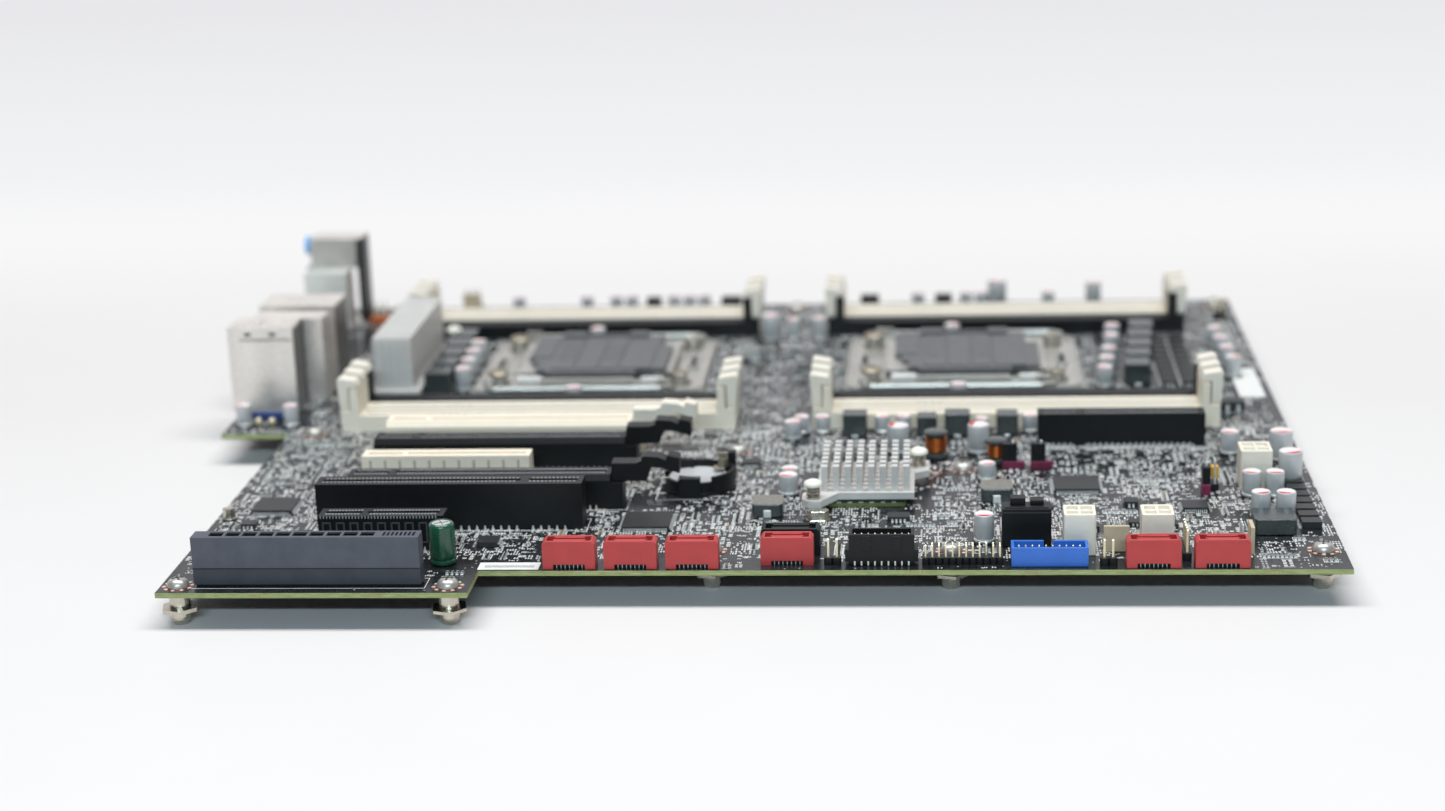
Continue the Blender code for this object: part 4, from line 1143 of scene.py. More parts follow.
def make_drive_sockets():
    shape = Shape()
    for x0, x1, front in (
        (19.5, 35.4, 1.0), (38.0, 53.9, 1.0), (56.5, 72.4, 1.0),
        (84.8, 100.6, 3.9), (192.8, 208.7, 0.8), (212.8, 228.7, 0.8),
    ):
        drive_socket(shape, x0, x1, front)
    shape.build("drive_sockets", [RED, GOLD, TIN, BLACK], bevel=0.2)
    shape = Shape()
    drive_socket(shape, 84.4, 102.2, 13.2, 19.4, 8.4)
    shape.build("drive_socket_black", [BLACK, GOLD, TIN, DARK_GREY], bevel=0.2)


make_drive_sockets()


def make_front_headers():
    header("header_two_pin", 105.0, 5.5, 2, 1, PIN_PITCH, 2.3, 8.2)
    header("header_two_pin_right", 186.5, 4.5, 2, 1, PIN_PITCH, 2.3, 8.0)
    header("header_long", 133.9, 5.4, 12, 2, 2.0, 2.2, 6.1, skip=((9, 0), (0, 1)))
    header("header_right_row", 211.0, 8.2, 1, 5, PIN_PITCH, 2.5, 9.6)
    header("header_rear_right", 250.5, 296.0, 2, 2, PIN_PITCH, 2.5, 8.5)
    # boxed header: open box with a key gap in its back wall
    box = Shape()
    x0, x1, y0, y1, high = 159.2, 181.8, 2.4, 9.6, 6.0
    for near, far in ((x0, 168.9), (171.7, x1)):
        box.box(near, far, y1 - 0.9, y1, 0.1, high)
    box.boxes(
        (x0, x1, y0, y0 + 0.9, 0.1, high), (x0, x0 + 0.9, y0 + 0.85, y1 - 0.85, 0.1, high),
        (x1 - 0.9, x1, y0 + 0.85, y1 - 0.85, 0.1, high),
        (x0 + 0.85, x1 - 0.85, y0 + 0.85, y1 - 0.85, 0.1, 2.0),
    )
    for i in range(10):
        for y in (5.0, 7.0):
            pin(box, 161.5 + i * 2.0, y, 0.2, 5.4, 0.5, 1)
    reserve(x0, x1, y0, y1)
    box.build("boxed_header", [BLUE, GOLD], bevel=0.2)
    # black stacked header with ledges, a slot row and white tails
    block = Shape()
    x0, x1, y0, y1 = 111.2, 130.6, 3.7, 10.4
    block.ring(rectangle(x0, x1, y0, y1), rectangle(x0 + 1.0, x1 - 1.0, y0 + 1.0, y1 - 1.0), 1.2, 9.8)
    block.boxes(
        (x0 + 1.0, x1 - 1.0, y0 + 1.0, y1 - 1.0, 1.2, 5.6),
        (x0 - 1.2, x1 + 1.2, y0 + 0.2, y1 - 0.2, 1.2, 5.0),
        (x0 + 4.0, x0 + 6.6, y0 - 0.25, y0 + 0.1, 4.6, 9.4),
        (x1 - 6.6, x1 - 4.0, y0 - 0.25, y0 + 0.1, 4.6, 9.4),
    )
    for k in range(9):
        x = x0 + 1.7 + k * 2.0
        pin(block, x, 6.2, 4.8, 8.9, 0.5, 1)
        pin(block, x, 8.2, 4.8, 8.9, 0.5, 1)
        block.box(x - 0.25, x + 0.25, y0 - 0.1, y0 + 0.5, 0.1, 1.5, 2)
    block.box(x0, x1, y0 + 0.5, y1 - 0.4, 0.1, 1.25)
    reserve(x0 - 1.5, x1 + 1.5, y0 - 0.4, y1)
    block.build("front_stacked_header", [BLACK, GOLD, WHITE], bevel=0.18)
    # fan headers: a tall flat wall in front of a base with three pins
    fans = Shape()
    for x0, y0, count in ((187.0, 15.4, 3), (-62.0, 318.5, 3)):
        long = count * PIN_PITCH
        fans.box(x0, x0 + long, y0, y0 + 5.6, 0.1, 3.0)
        fans.box(x0, x0 + long, y0, y0 + 1.1, 2.9, 8.2)
        for k in range(count):
            pin(fans, x0 + 1.27 + k * PIN_PITCH, y0 + 3.2, 2.8, 10.0, 0.64, 1)
        reserve(x0, x0 + long, y0, y0 + 5.6)
    # the same kind seen from its end
    fans.box(225.6, 231.2, 12.5, 20.1, 0.1, 3.0)
    fans.box(230.0, 231.2, 12.5, 20.1, 2.9, 8.6)
    for k in range(3):
        pin(fans, 227.8, 13.8 + k * PIN_PITCH, 2.8, 9.4, 0.64, 1)
    reserve(225.6, 231.2, 12.5, 20.1)
    fans.build("fan_headers", [BEIGE, TIN], bevel=0.15)
    orange = Shape()
    for x0, y, count in ((-98.5, 303.0, 3), (-88.0, 300.0, 4)):
        orange.box(x0, x0 + count * PIN_PITCH, y, y + 2.6, 0.1, 2.6)
        for k in range(count):
            pin(orange, x0 + 1.3 + k * PIN_PITCH, y + 1.3, 2.4, 8.8, 0.64, 1)
    reserve(-99, -77, 299, 307)
    orange.build("orange_headers", [ORANGE, GOLD])


make_front_headers()


def power_block(name, x0, x1, y0, y1, high):
    """An ivory supply socket: a plain shell with four square wells in its top, and a clip behind."""
    shape = Shape()
    wall = 1.1
    shape.box(x0 + 0.3, x1 - 0.3, y0 + 0.3, y1 - 0.3, 0.1, high - 1.4)
    shape.ring(rectangle(x0, x1, y0, y1, 0.5),
               rectangle(x0 + wall, x1 - wall, y0 + wall, y1 - wall, 0.4), 0.1, high)
    x = x0 + wall / 2 + (x1 - x0 - wall) / 2
    shape.box(x - 0.5, x + 0.5, y0 + wall - 0.1, y1 - wall + 0.1, high - 1.5, high - 0.05)
    y = y0 + wall / 2 + (y1 - y0 - wall) / 2
    shape.box(x0 + wall - 0.1, x1 - wall + 0.1, y - 0.5, y + 0.5, high - 1.5, high - 0.1)
    middle = (x0 + x1) / 2
    shape.box(middle - 2.4, middle + 2.4, y1 - 0.1, y1 + 1.6, high - 5.4, high - 3.4)
    reserve(x0, x1, y0 - 1, y1 + 2)
    shape.build(name, [CREAM], bevel=0.25)


def black_supply_socket():
    """A glossy plain front with a lip near the top and two raised blocks behind it."""
    shape = Shape()
    shape.boxes(
        (156.9, 171.7, 20.0, 27.2, 0.1, 12.2), (156.7, 171.9, 19.8, 20.3, 10.6, 11.1),
        (159.5, 164.0, 23.4, 27.0, 12.1, 14.5), (165.5, 169.5, 23.4, 27.0, 12.1, 13.8),
        (157.6, 171.0, 20.8, 22.6, 12.1, 12.5),
    )
    reserve(156.9, 171.7, 20.0, 27.2)
    shape.build("supply_socket_black", [BLACK], bevel=0.35)


power_block("supply_socket_left", 175.0, 184.6, 12.0, 21.6, 13.0)
power_block("supply_socket_right", 198.0, 207.6, 12.0, 21.6, 13.0)
power_block("supply_socket_edge", 234.0, 244.1, 73.5, 84.0, 13.3)
black_supply_socket()


def make_jumpers():
    """Pin rows in coloured bases with a black cap over some pins: slots black, yellow, maroon, pins."""
    shape = Shape()
    shape.block(222.9, 71.0, 2.6, 5.4, 0.1, 3.6, 2)
    shape.block(222.9, 71.4, 2.4, 4.8, 3.6, 9.2)
    pin(shape, 222.9, 71.0, 9.0, 10.8, 0.64, 3)
    shape.block(226.0, 75.6, 2.6, 5.4, 0.1, 2.4)
    shape.block(226.0, 75.0, 2.3, 3.0, 4.2, 8.0, 1)
    for y in (73.6, 76.2):
        pin(shape, 226.0, y, 2.2, 10.5, 0.64, 3)
    reserve(221, 228, 67.5, 79)
    for x in (162.7, 172.0):
        shape.block(x, 98.5, 7.4, 2.5, 0.1, 2.6, 2)
        shape.block(x - 1.2, 98.7, 4.9, 2.3, 2.6, 8.7)
        pin(shape, x + 2.5, 98.5, 2.4, 8.6, 0.64, 3)
        pin(shape, x - 0.2, 98.5, 8.4, 9.8, 0.64, 3)
        reserve(x - 4, x + 4, 96.8, 100.2)
    shape.build("jumpers", [BLACK, YELLOW, MAROON, TIN], bevel=0.2)


make_jumpers()


# ---------------------------------------------------------------- capacitors, coils and chips

def make_capacitors():
    cans = Shape()
    small = (
        (235.2, 114.0, 7.8, 3.15), (251.1, 106.4, 10.2, 3.85), (250.8, 81.8, 10.8, 3.85),
        (237.0, 68.4, 8.3, 3.0), (244.2, 68.3, 8.3, 3.0), (237.1, 46.7, 8.7, 3.05), (244.8, 46.6, 8.7, 3.05),
        (151.6, 25.4, 9.0, 3.1), (87.5, 133.7, 6.5, 3.0), (90.4, 140.4, 6.2, 2.6), (97.6, 140.4, 6.2, 2.6),
        (118.5, 140.4, 6.2, 2.6), (125.8, 140.4, 6.2, 2.6),
        (124.4, 117.5, 9.6, 3.7), (151.5, 116.9, 9.9, 3.7),
        (153.0, 140.6, 5.0, 2.4), (169.8, 140.3, 6.2, 2.6), (153.7, 86.7, 5.8, 2.9), (89.4, 72.4, 6.8, 3.2),
        (89.5, 80.3, 6.5, 2.9), (71.6, 268.8, 10.3, 3.6), (80.6, 268.8, 8.6, 2.6), (91.0, 268.8, 9.0, 2.8),
        *((-40.2 - 0.3 * k, 199.0 + 13.0 * k, 8.8, 3.1) for k in range(4)),
        *((x, y, 7.6, 3.0) for x, y in (
            (199.1, 197.4), (200.7, 211.0), (202.4, 225.0), (204.4, 243.8), (205.8, 258.7))),
        *((x, y, 7.8, 3.0) for x, y in ((244.6, 252.2), (245.4, 238.0), (246.2, 223.6), (247.0, 209.0))),
        (-112.6, 153.7, 7.9, 2.7), (-95.2, 153.5, 7.9, 2.7),
        *((x, y, 6.0, 3.0) for x, y in ((4.0, 181.6), (2.0, 267.9), (145.3, 181.6), (143.7, 267.9))),
        (162.7, REAR_ROW, 11.0, 3.9), (202.4, REAR_ROW, 9.8, 3.2),
        *((x, REAR_ROW, 6.0, 2.6)
          for x in (-38.4, -9.3, 3.1, 9.6, 27.7, 34.1, 40.4, 129.9, 149.9, 156.1, 183.8)),
    )
    for index, (x, y, high, radius) in enumerate(small):
        # the two tall ones behind the middle heatsink are printed on their left
        left_print = high > 9.2 and 120 < x < 155
        turn = 2.9 if left_print else -1.57 + 0.35 * (index % 3 - 1)
        can_capacitor(cans, x, y, radius, high, turn)
    cans.build("can_capacitors", [CAN, BLACK, PRINT_RED, TIN, CAN_TOP])
    sleeve = Shape()
    x, y, radius, high = -11.7, 7.0, 4.0, 13.2
    profile = (
        (0.0, 0.3), (0.9, 0.3), (0.98, 0.7), (0.98, 1.5), (0.9, 1.9), (0.98, 2.4), (1.0, 2.9),
        (1.0, high - 1.2), (0.97, high - 0.7), (0.9, high - 0.25),
        (0.78, high), (0.72, high - 0.05), (0.7, high - 0.2),
    )
    sleeve.turned(x, y, [(radius * r, z) for r, z in profile], 0, 36)
    inner = radius * 0.7
    sleeve.turned(x, y, [(0.0, 0.4), (inner, 0.4), (inner, high - 0.25), (0.0, high - 0.2)], 1, 36)
    for turn in (0.4, 0.4 + math.pi / 2):
        c, s = math.cos(turn), math.sin(turn)
        line = [(-2.2, -0.1), (2.2, -0.1), (2.2, 0.1), (-2.2, 0.1)]
        sleeve.prism([(x + a * c - b * s, y + a * s + b * c) for a, b in line], high - 0.2, high - 0.1, 2)
    sleeve.build("sleeved_capacitor", [GREEN, CAN, DARK_GREY])
    reserve(x - 5, x + 5, y - 5, y + 5)


make_capacitors()


def wound_coil(shape, x, y, radius, high, winding):
    """A drum core standing on the board with thick wire round its waist: slots 0 wire, 1 core."""
    foot = ((0.0, 0.2), (0.9, 0.2), (1.0, 0.7), (1.0, 2.0), (0.85, 2.4), (0.0, 2.4))
    shape.turned(x, y, [(radius * r, z) for r, z in foot], 1, 24)
    waist = winding * 0.72
    shape.turned(x, y, [(0.0, 2.3), (waist, 2.3), (waist, high - 1.2), (0.0, high - 1.2)], 1, 20)
    cap = ((0.0, -1.5), (0.86, -1.5), (0.97, -1.0), (0.93, -0.3), (0.8, 0.0), (0.0, 0.0))
    shape.turned(x, y, [(radius * r, high + z) for r, z in cap], 1, 24)
    turns, steps, wire = 5, 20, 0.48
    points, faces = [], []
    total = turns * steps
    for i in range(total + 1):
        angle = 2 * math.pi * i / steps
        level = 2.9 + (high - 4.7) * i / total + 0.5 * math.sin(angle)
        for k in range(6):
            around = 2 * math.pi * k / 6
            reach = winding - wire + wire * math.cos(around)
            z = level + wire * math.sin(around)
            points.append((x + reach * math.cos(angle), y + reach * math.sin(angle), z))
    for i in range(total):
        for k in range(6):
            j = (k + 1) % 6
            faces.append((i * 6 + k, (i + 1) * 6 + k, (i + 1) * 6 + j, i * 6 + j))
    faces.append(tuple(reversed(range(6))))
    faces.append(tuple(range(total * 6, total * 6 + 6)))
    shape.add(points, faces, 0, True)
    reserve(x - radius, x + radius, y - radius, y + radius)


def shielded_coil(shape, x0, x1, y0, y1, high, clip=True):
    """A ferrite block with small cut corners and a bright clip at the foot of its front and back."""
    shape.prism(rectangle(x0, x1, y0, y1, 0.6), 0.3, high)
    x = (x0 + x1) / 2
    for y in (y0, y1) if clip else ():
        shape.block(x, y, (x1 - x0) * 0.26, 0.5, 0.05, high * 0.1, 1)
    reserve(x0, x1, y0, y1)


def make_coils():
    shape = Shape()
    for x0, x1, y0, y1, high in ((79.1, 88.9, 48.2, 58.0, 4.6), (151.3, 161.5, 62.0, 72.0, 4.8)):
        shape.prism(rectangle(x0, x1, y0, y1, 0.8), 0.3, high - 0.3)
        shape.prism(rectangle(x0, x1, y0, y1, 0.8), high - 0.32, high, 2)
        shape.block((x0 + x1) / 2, y0, 2.4, 0.7, 0.05, 2.6, 1)
        reserve(x0, x1, y0, y1)
    for x0, x1, y0, y1, high in (
        (104.9, 113.2, 134.4, 142.2, 8.0), (130.6, 137.5, 134.4, 142.0, 7.0),
        (140.2, 148.9, 134.4, 142.2, 8.0), (158.1, 165.4, 134.4, 142.2, 7.6),
    ):
        shielded_coil(shape, x0, x1, y0, y1, high)
    shielded_coil(shape, 233.4, 246.0, 29.5, 41.0, 5.2, False)
    for k in range(5):
        y = 192.5 + k * 14.2
        shielded_coil(shape, -54.0, -44.6, y, y + 10.8, 8.2, False)
        shielded_coil(shape, 206.8 + k * 1.4, 216.0 + k * 1.4, y + 5.0, y + 15.6, 8.0)
    shape.build("shielded_coils", [FERRITE, BRIGHT, CLAY], bevel=0.15)
    wound = Shape()
    wound_coil(wound, 137.1, 110.5, 4.2, 9.6, 3.7)
    wound_coil(wound, 157.1, 104.0, 4.0, 8.6, 2.9)
    wound.build("wound_coils", [WIRE, FERRITE])


make_coils()


def make_chips():
    shape = Shape()
    # x0, x1, y0, y1, height, lead length, lead pitch and the sides with leads
    for package in (
        (-83.5, -70.3, 53.0, 66.2, 1.6, 1.1, 0.5), (39.0, 54.0, 36.0, 51.0, 1.5, 1.1, 0.5),
        (175.0, 189.6, 71.2, 85.4, 1.6, 1.1, 0.5), (-4.0, 2.4, 20.6, 27.0, 1.9, 1.5, FINE_PITCH, "y"),
        (121.8, 128.9, 44.0, 49.0, 1.6, 1.0, FINE_PITCH, "x"),
        (196.2, 200.6, 58.0, 63.0, 1.6, 1.0, FINE_PITCH, "x"),
        (-83.2, -78.4, 39.2, 43.2, 1.6, 1.0, FINE_PITCH, "x"),
        (-57.4, -52.4, 39.2, 43.2, 1.6, 1.0, FINE_PITCH, "x"),
        (12.0, 19.6, 40.0, 46.2, 1.6, 1.0, 0.65, "x"), (72.0, 78.4, 101.0, 106.0, 1.6, 1.0, 0.65, "x"),
        (104.0, 112.0, 106.0, 112.4, 1.6, 1.0), (205.0, 211.0, 36.0, 41.0, 1.6, 1.0, FINE_PITCH, "x"),
        (214.0, 222.0, 52.0, 60.0, 1.6, 1.0), (160.0, 168.0, 44.0, 52.0, 1.5, 1.0, 0.5),
        (181.0, 187.0, 34.0, 39.0, 1.6, 1.0, FINE_PITCH, "x"), (-20.0, -10.0, 312.0, 322.0, 1.4, 1.0, 0.5),
        (120.0, 132.0, 310.0, 322.0, 1.4, 1.0, 0.5), (84.0, 92.0, 220.0, 228.0, 1.4, 1.0, 0.5),
    ):
        chip(shape, *package)
    for k in range(9):
        y = 35.6 + k * 6.6
        chip(shape, 248.4, 254.4, y, y + 4.9, 2.3, 0.0, dot=False)
        for j in range(3):
            shape.box(247.3, 248.5, y + 0.8 + j * 1.5, y + 1.4 + j * 1.5, 0.0, 0.5, 1)
        shape.box(254.3, 255.4, y + 0.6, y + 4.3, 0.0, 0.5, 1)
    for k in range(9):
        y = 196.0 + k * 7.4
        for x in (220.0, 227.5):
            chip(shape, x, x + 5.6, y, y + 5.2, 2.3, 0.9, FINE_PITCH, "x", dot=False)
            shape.box(x - 0.9, x + 0.1, y + 0.5, y + 4.7, 0.0, 0.5, 1)
    shape.box(238.0, 246.0, 163.0, 170.0, 0.1, 3.4)
    for x in (239.4, 243.2):
        shape.box(x, x + 1.2, 162.4, 163.1, 0.1, 2.4, 1)
    reserve(238, 246, 162, 171)
    for x0, x1 in ((16.0, 22.0), (47.6, 56.0), (106.0, 113.6), (137.0, 144.0)):
        shape.box(x0, x1, 318.6, 324.0, 0.1, 5.0)
        reserve(x0, x1, 318.6, 324.0)
    shape.build("chips", [PACKAGE, TIN, DARK_GREY])
    metal = Shape()
    for x0, x1, y0, y1, high in ((96.6, 103.5, 44.0, 48.0, 3.4), (-91.5, -87.5, 47.6, 50.6, 3.8)):
        metal.prism(rectangle(x0, x1, y0, y1, 1.2), 0.2, high)
        metal.prism(rectangle(x0 - 0.4, x1 + 0.4, y0 - 0.4, y1 + 0.4, 1.3), 0.1, 0.6)
        reserve(x0, x1, y0, y1)
    metal.build("crystals", [NICKEL], bevel=0.35)
    label = Shape()
    label.box(246.5, 255.7, 181.0, 219.0, 0.02, 0.16)
    label.box(-0.4, 18.1, 0.9, 7.1, 0.02, 0.14)
    for k in range(38):
        x = 1.6 + k * 0.4
        label.box(x, x + 0.16, 2.6, 4.6, 0.13, 0.16, 1)
    reserve(246.5, 255.7, 181, 219)
    reserve(-0.4, 18.1, 0.9, 7.1)
    label.build("paper_labels", [SILK, DARK_GREY])


make_chips()


# ---------------------------------------------------------------- scattered small parts, vias and marks

RNG = random.Random(7)
GROUP_TRIES, PACKAGE_TRIES, MARK_TRIES, VIA_TRIES = 5200, 500, 12000, 9000
# length, width and height of the chip parts
SIZES = ((1.0, 0.5, 0.4), (1.6, 0.8, 0.6), (1.6, 0.8, 0.8), (2.0, 1.25, 0.9))


def detail_level(y):
    """How many small parts there are at a distance from the front: most up to the memory sockets."""
    if y < 118:
        return 1.0
    return 0.9 if y < 170 else 0.75


def make_small_parts():
    """Rows of chip parts, their pads and outlines, and vias, laid out in small neat groups."""
    parts, ink, vias, packages = Shape(), Shape(), Shape(), Shape()
    for _ in range(GROUP_TRIES):
        x = RNG.uniform(BOARD_LEFT + 2, BOARD_RIGHT - 2)
        y = RNG.uniform(-TAB_DEEP + 2, BOARD_BACK - 2)
        if RNG.random() > detail_level(y):
            continue
        along_x = RNG.random() < 0.5
        long, wide, high = RNG.choices(SIZES, (3, 6, 4, 1.4))[0]
        count = RNG.choice((1, 2, 2, 3, 3, 4, 5, 6, 8))
        step = wide + RNG.choice((0.35, 0.5, 0.7, 1.0))
        style = RNG.choices((1, 2, 3, 4), (5, 1, 3, 1.5))[0]
        empty = RNG.random() < 0.16
        cell_long, cell_wide = long + 0.9, step
        if along_x:
            box = (x - cell_long / 2, x + cell_long / 2, y - cell_wide / 2, y + cell_wide * (count - 0.5))
        else:
            box = (x - cell_wide / 2, x + cell_wide * (count - 0.5), y - cell_long / 2, y + cell_long / 2)
        if not is_free(*box):
            continue
        reserve(*box, 0.15)
        for k in range(count):
            px, py = (x, y + k * step) if along_x else (x + k * step, y)
            pads(parts, px, py, long + 0.5, wide + 0.1, along_x)
            if not empty:
                passive(parts, px, py, long, wide, high, along_x, style)
        # ink lines along the group, and now and then across its ends
        x0, x1, y0, y1 = box
        line = 0.22
        if RNG.random() < 0.75:
            ink.box(x0 - line, x1 + line, y0 - 0.1 - line, y0 - 0.1, 0.0, INK)
            ink.box(x0 - line, x1 + line, y1 + 0.1, y1 + 0.1 + line, 0.0, INK)
            if RNG.random() < 0.5:
                ink.box(x0 - line, x0, y0 - 0.1, y1 + 0.1, 0.0, INK)
                ink.box(x1, x1 + line, y0 - 0.1, y1 + 0.1, 0.0, INK)
    for _ in range(PACKAGE_TRIES):
        x = RNG.uniform(BOARD_LEFT + 4, BOARD_RIGHT - 6)
        y = RNG.uniform(-TAB_DEEP + 3, BOARD_BACK - 4)
        wide, deep = RNG.choice(((2.9, 1.5), (2.9, 1.5), (4.9, 3.9), (3.0, 3.0)))
        if is_free(x - 0.8, x + wide + 0.8, y - 1.2, y + deep + 1.2):
            pitch = 0.95 if wide < 4 else FINE_PITCH
            chip(packages, x, x + wide, y, y + deep, 1.1, 0.55, pitch, "x", dot=wide > 4)
    for _ in range(MARK_TRIES):
        x = RNG.uniform(BOARD_LEFT + 2, BOARD_RIGHT - 5)
        y = RNG.uniform(-TAB_DEEP + 2, BOARD_BACK - 3)
        long = RNG.choice((1.6, 2.4, 3.2, 4.8))
        if not is_free(x, x + long, y, y + 1.5):
            continue
        reserve(x, x + long, y, y + 1.5, 0.0)
        # a generic run of strokes, no lettering: short uprights with a bar here and there
        for k in range(int(long / 0.5)):
            if RNG.random() < 0.16:
                continue
            sx = x + k * 0.5
            low = y + RNG.choice((0.0, 0.0, 0.4))
            top = y + RNG.choice((0.9, 1.3, 1.3))
            ink.box(sx, sx + 0.24, low, top, 0.0, INK)
            if RNG.random() < 0.5:
                bar = RNG.choice((low, top - 0.24, (low + top) / 2))
                ink.box(sx, sx + 0.5, bar, bar + 0.22, 0.0, INK)
    for _ in range(VIA_TRIES):
        x = RNG.uniform(BOARD_LEFT + 2, BOARD_RIGHT - 2)
        y = RNG.uniform(-TAB_DEEP + 2, BOARD_BACK - 2)
        if not is_free(x - 0.3, x + 0.3, y - 0.3, y + 0.3):
            continue
        reserve(x - 0.3, x + 0.3, y - 0.3, y + 0.3, 0.0)
        vias.ring(disc(x, y, 0.3, 8), disc(x, y, 0.14, 8), 0.0, 0.035)
    parts.build("chip_parts", [TIN, PACKAGE, CERAMIC, DARK_GREY, CLAY])
    packages.build("small_packages", [PACKAGE, TIN, DARK_GREY])
    ink.build("ink_marks", [SILK])
    vias.build("vias", [TIN])


make_small_parts()


def make_outlines():
    """Ink outlines round the large parts."""
    ink = Shape()

    def outline(x0, x1, y0, y1, line):
        inside = rectangle(x0 + line, x1 - line, y0 + line, y1 - line)
        ink.ring(rectangle(x0, x1, y0, y1), inside, 0.0, INK)

    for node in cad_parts:
        if node.startswith(("slot", "riser", "cpu_left_frame", "cpu_right_frame", "vrm", "battery", "power")):
            x0, x1, y0, y1 = grid_box(node)[:4]
            outline(x0 - 1.3, x1 + 1.3, y0 - 1.3, y1 + 1.3, 0.22)
    for centre, front in BANKS.values():
        for i in range(3):
            y = front + i * SOCKET_PITCH
            outline(centre - 72, centre + 72, y - 0.75, y + SOCKET_DEEP + 0.75, 0.2)
    ink.build("ink_outlines", [SILK])


make_outlines()


def make_underside():
    """Solder tails under the slots, sockets and connectors, and the processor sockets' back plates."""
    tails = Shape()

    def tail(x, y):
        tails.turned(x, y, [(0.0, -2.75), (0.2, -2.7), (0.3, -2.2), (0.75, -1.62), (0.0, -1.6)], 0, 6)

    for node in SLOTS:
        x0, x1, y0, y1 = grid_box(node)[:4]
        for k in range(int((x1 - x0 - 4) / 2.0)):
            for row in (-2.5, 2.5):
                tail(x0 + 2.5 + k * 2.0, (y0 + y1) / 2 + row)
    for centre, front in BANKS.values():
        for i in range(3):
            y = front + SOCKET_DEEP / 2 + i * SOCKET_PITCH
            for k in range(60):
                for row in (-1.6, 1.6):
                    tail(centre - 60 + k * 2.03, y + row)
    for k in range(14):
        for row in (-11.6, -7.6):
            tail(-80.0 + k * 4.8, row)
    for x0, x1 in ((19.7, 36.1), (38.2, 54.6), (56.7, 73.2), (192.8, 209.3), (212.8, 229.3)):
        for k in range(7):
            tail((x0 + x1) / 2 + (k - 3) * FINE_PITCH, 4.0)
    for k in range(12):
        for row in (5.4, 7.4):
            tail(133.9 + k * 2, row)
    tails.build("solder_tails", [TIN])
    plates = Shape()
    for x, y in CPUS.values():
        plates.ring(rectangle(x - 41, x + 41, y - 33, y + 33, 5),
                    rectangle(x - 24, x + 24, y - 22, y + 22, 5), -3.6, -1.65)
        nut = [(0.0, -4.6), (2.6, -4.6), (3.0, -4.2), (3.0, -3.5), (0.0, -3.5)]
        for i in (-1, 1):
            for j in (-1, 1):
                plates.turned(x + i * STUD_X, y + j * STUD_Y, nut, 1, 18)
    plates.build("socket_back_plates", [BLACK, NICKEL], bevel=0.3)


make_underside()


# ---------------------------------------------------------------- floor, light and camera

FRONT_EDGE = -0.155
# place in grid mm, yaw, pitch and roll in radians, focal length in mm, distance of the sharp point in m
CAMERA_PLACE = (138.083, -698.447, 254.817)
CAMERA_TURN = (-0.0896643, 0.2826574, -0.0327676)
CAMERA_LENS = 62.353
FOCUS = 0.745


def make_floor():
    """A white sweep: lit floor round the object, running into an even pale backdrop behind it.

    Distances along y are metres in the row frame: the floor's own shading gives way to an even painted glow
    from 0.06 to 0.36, and the glow darkens slightly towards the back as painted shade.
    """
    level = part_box("standoff_front_left")[0].z
    made = Nodes("studio_floor")
    tree = made.tree
    made.set("Base Color", made.mix(made.noise(60.0, 2.0), linear((225, 222, 221)), linear((228, 225, 224))))
    made.set("Roughness", 0.6)
    made.set("Specular IOR Level", 0.2)
    made.bump(made.noise(3.0, 2.0), 0.03, 0.1)
    parts = made.axes
    # painted light: the far floor and backdrop glow in this colour, darker towards the back as painted shade
    haze = made.mix(made.remap(parts[1], 0.42, 0.56), linear((250, 250, 251)), linear((244, 245, 247)))
    haze = made.mix(made.remap(parts[1], 0.6, 1.3), haze, linear((237, 237, 240)))
    glow = made.add("Emission", {"Color": haze})
    path = made.add("LightPath").outputs
    seen = made.most(path["Is Camera Ray"], path["Is Glossy Ray"])
    tree.links.new(made.math("ADD", 0.12, made.times(seen, 0.88)), glow.inputs["Strength"])
    far = made.math("SMOOTH_MIN", made.remap(parts[1], 0.06, 0.36), 1.0)
    blend = made.add("MixShader", {0: far, 1: made.shader.outputs[0], 2: glow.outputs[0]})
    tree.links.new(blend.outputs[0], tree.nodes["Material Output"].inputs["Surface"])
    points, faces, half = [], [], 4.0
    bend = [(-3.0, 0.0), (0.3, 0.0), (1.35, 0.0), (1.45, 0.03), (1.52, 0.1), (1.56, 0.25), (1.58, 3.0)]
    for y, z in bend:
        points += [(-half, y, level + z), (half, y, level + z)]
    for i in range(len(bend) - 1):
        faces.append((2 * i, 2 * i + 1, 2 * i + 3, 2 * i + 2))
    mesh = bpy.data.meshes.new("studio_floor")
    mesh.from_pydata(points, [], faces)
    mesh.materials.append(made.material)
    floor = bpy.data.objects.new("studio_floor", mesh)
    bpy.context.scene.collection.objects.link(floor)


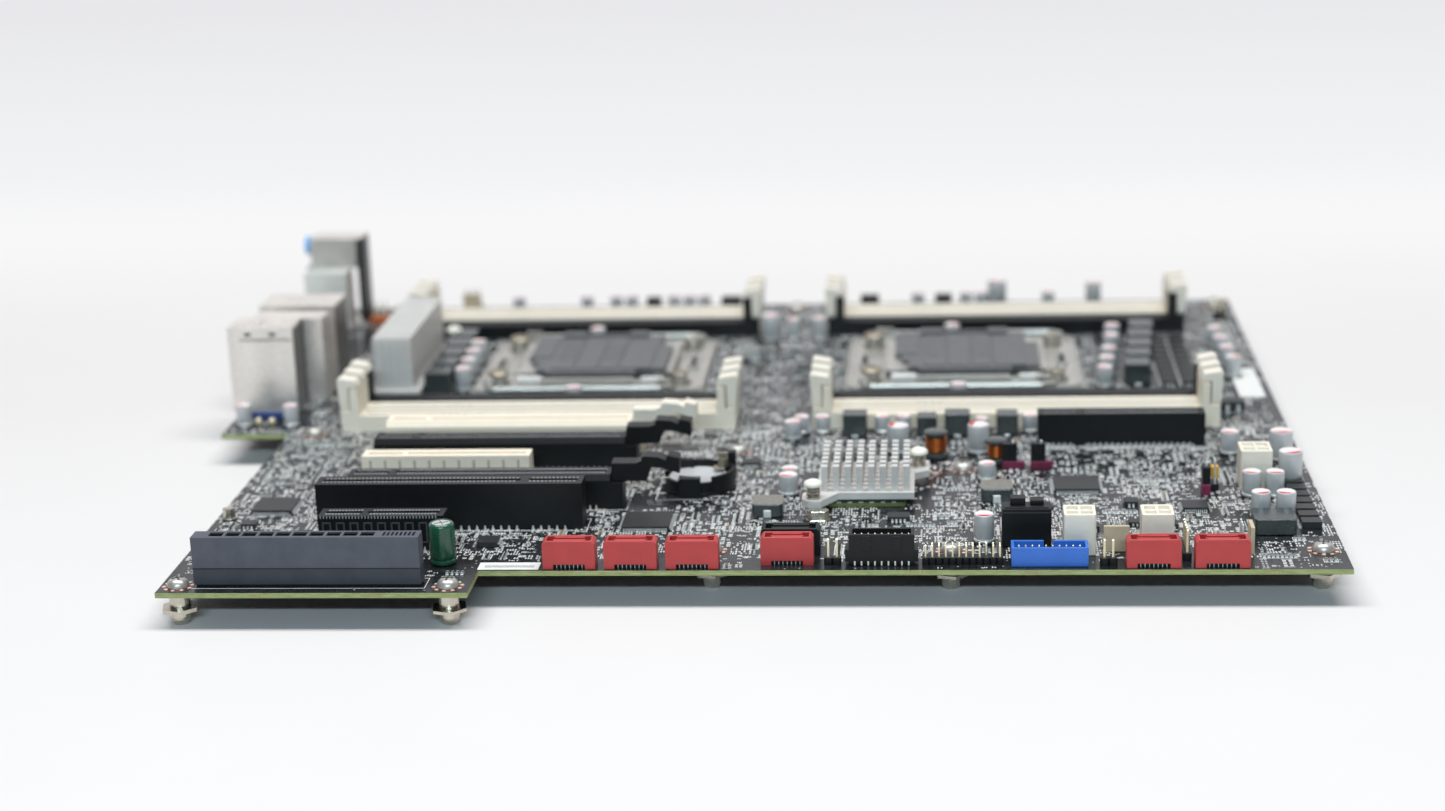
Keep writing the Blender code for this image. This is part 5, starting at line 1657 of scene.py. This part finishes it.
def area_light(name, place, target, size_x, size_y, power, colour=(1.0, 1.0, 1.0)):
    light = bpy.data.lights.new(name, "AREA")
    light.shape = "RECTANGLE"
    light.size, light.size_y, light.energy, light.color = size_x, size_y, power, colour
    lamp = bpy.data.objects.new(name, light)
    bpy.context.scene.collection.objects.link(lamp)
    lamp.location = place
    lamp.rotation_euler = (Vector(target) - Vector(place)).to_track_quat("-Z", "Y").to_euler()


def make_light():
    scene = bpy.context.scene
    scene.view_settings.view_transform = "Standard"
    world = bpy.data.worlds.new("studio")
    scene.world = world
    world.use_nodes = True
    background = world.node_tree.nodes["Background"]
    background.inputs["Color"].default_value = (0.92, 0.95, 1.0, 1.0)
    background.inputs["Strength"].default_value = 0.13
    target = (0.0, FRONT_EDGE, 0.0)
    area_light("overhead", (0.0, FRONT_EDGE, 1.5), target, 1.95, 0.4, 28.0)
    area_light("front", (0.1, FRONT_EDGE - 1.73, 1.0), target, 1.2, 0.08, 19.0, (0.70, 0.90, 1.0))


def make_camera():
    yaw, pitch, roll = CAMERA_TURN
    forward = Vector((math.sin(yaw) * math.cos(pitch), math.cos(yaw) * math.cos(pitch), -math.sin(pitch)))
    side = Vector((math.cos(yaw), -math.sin(yaw), 0.0))
    up = side.cross(forward)
    right = side * math.cos(roll) + up * math.sin(roll)
    top = up * math.cos(roll) - side * math.sin(roll)
    place = at(*CAMERA_PLACE)
    rows = [(right[i], top[i], -forward[i], place[i]) for i in range(3)] + [(0.0, 0.0, 0.0, 1.0)]
    data = bpy.data.cameras.new("camera")
    data.sensor_width = 36.0
    data.lens = CAMERA_LENS
    data.clip_start = 0.05
    data.dof.use_dof = True
    data.dof.aperture_fstop = 6.5
    camera = bpy.data.objects.new("camera", data)
    bpy.context.scene.collection.objects.link(camera)
    camera.matrix_world = Matrix(rows)
    bpy.context.scene.camera = camera
    # sharp at a point just behind the front edge, so the focus stays on the board from any side
    focus = bpy.data.objects.new("focus_point", None)
    focus.location = camera.matrix_world @ Vector((0.0, 0.0, -FOCUS))
    bpy.context.scene.collection.objects.link(focus)
    data.dof.focus_object = focus


make_floor()
make_light()
make_camera()
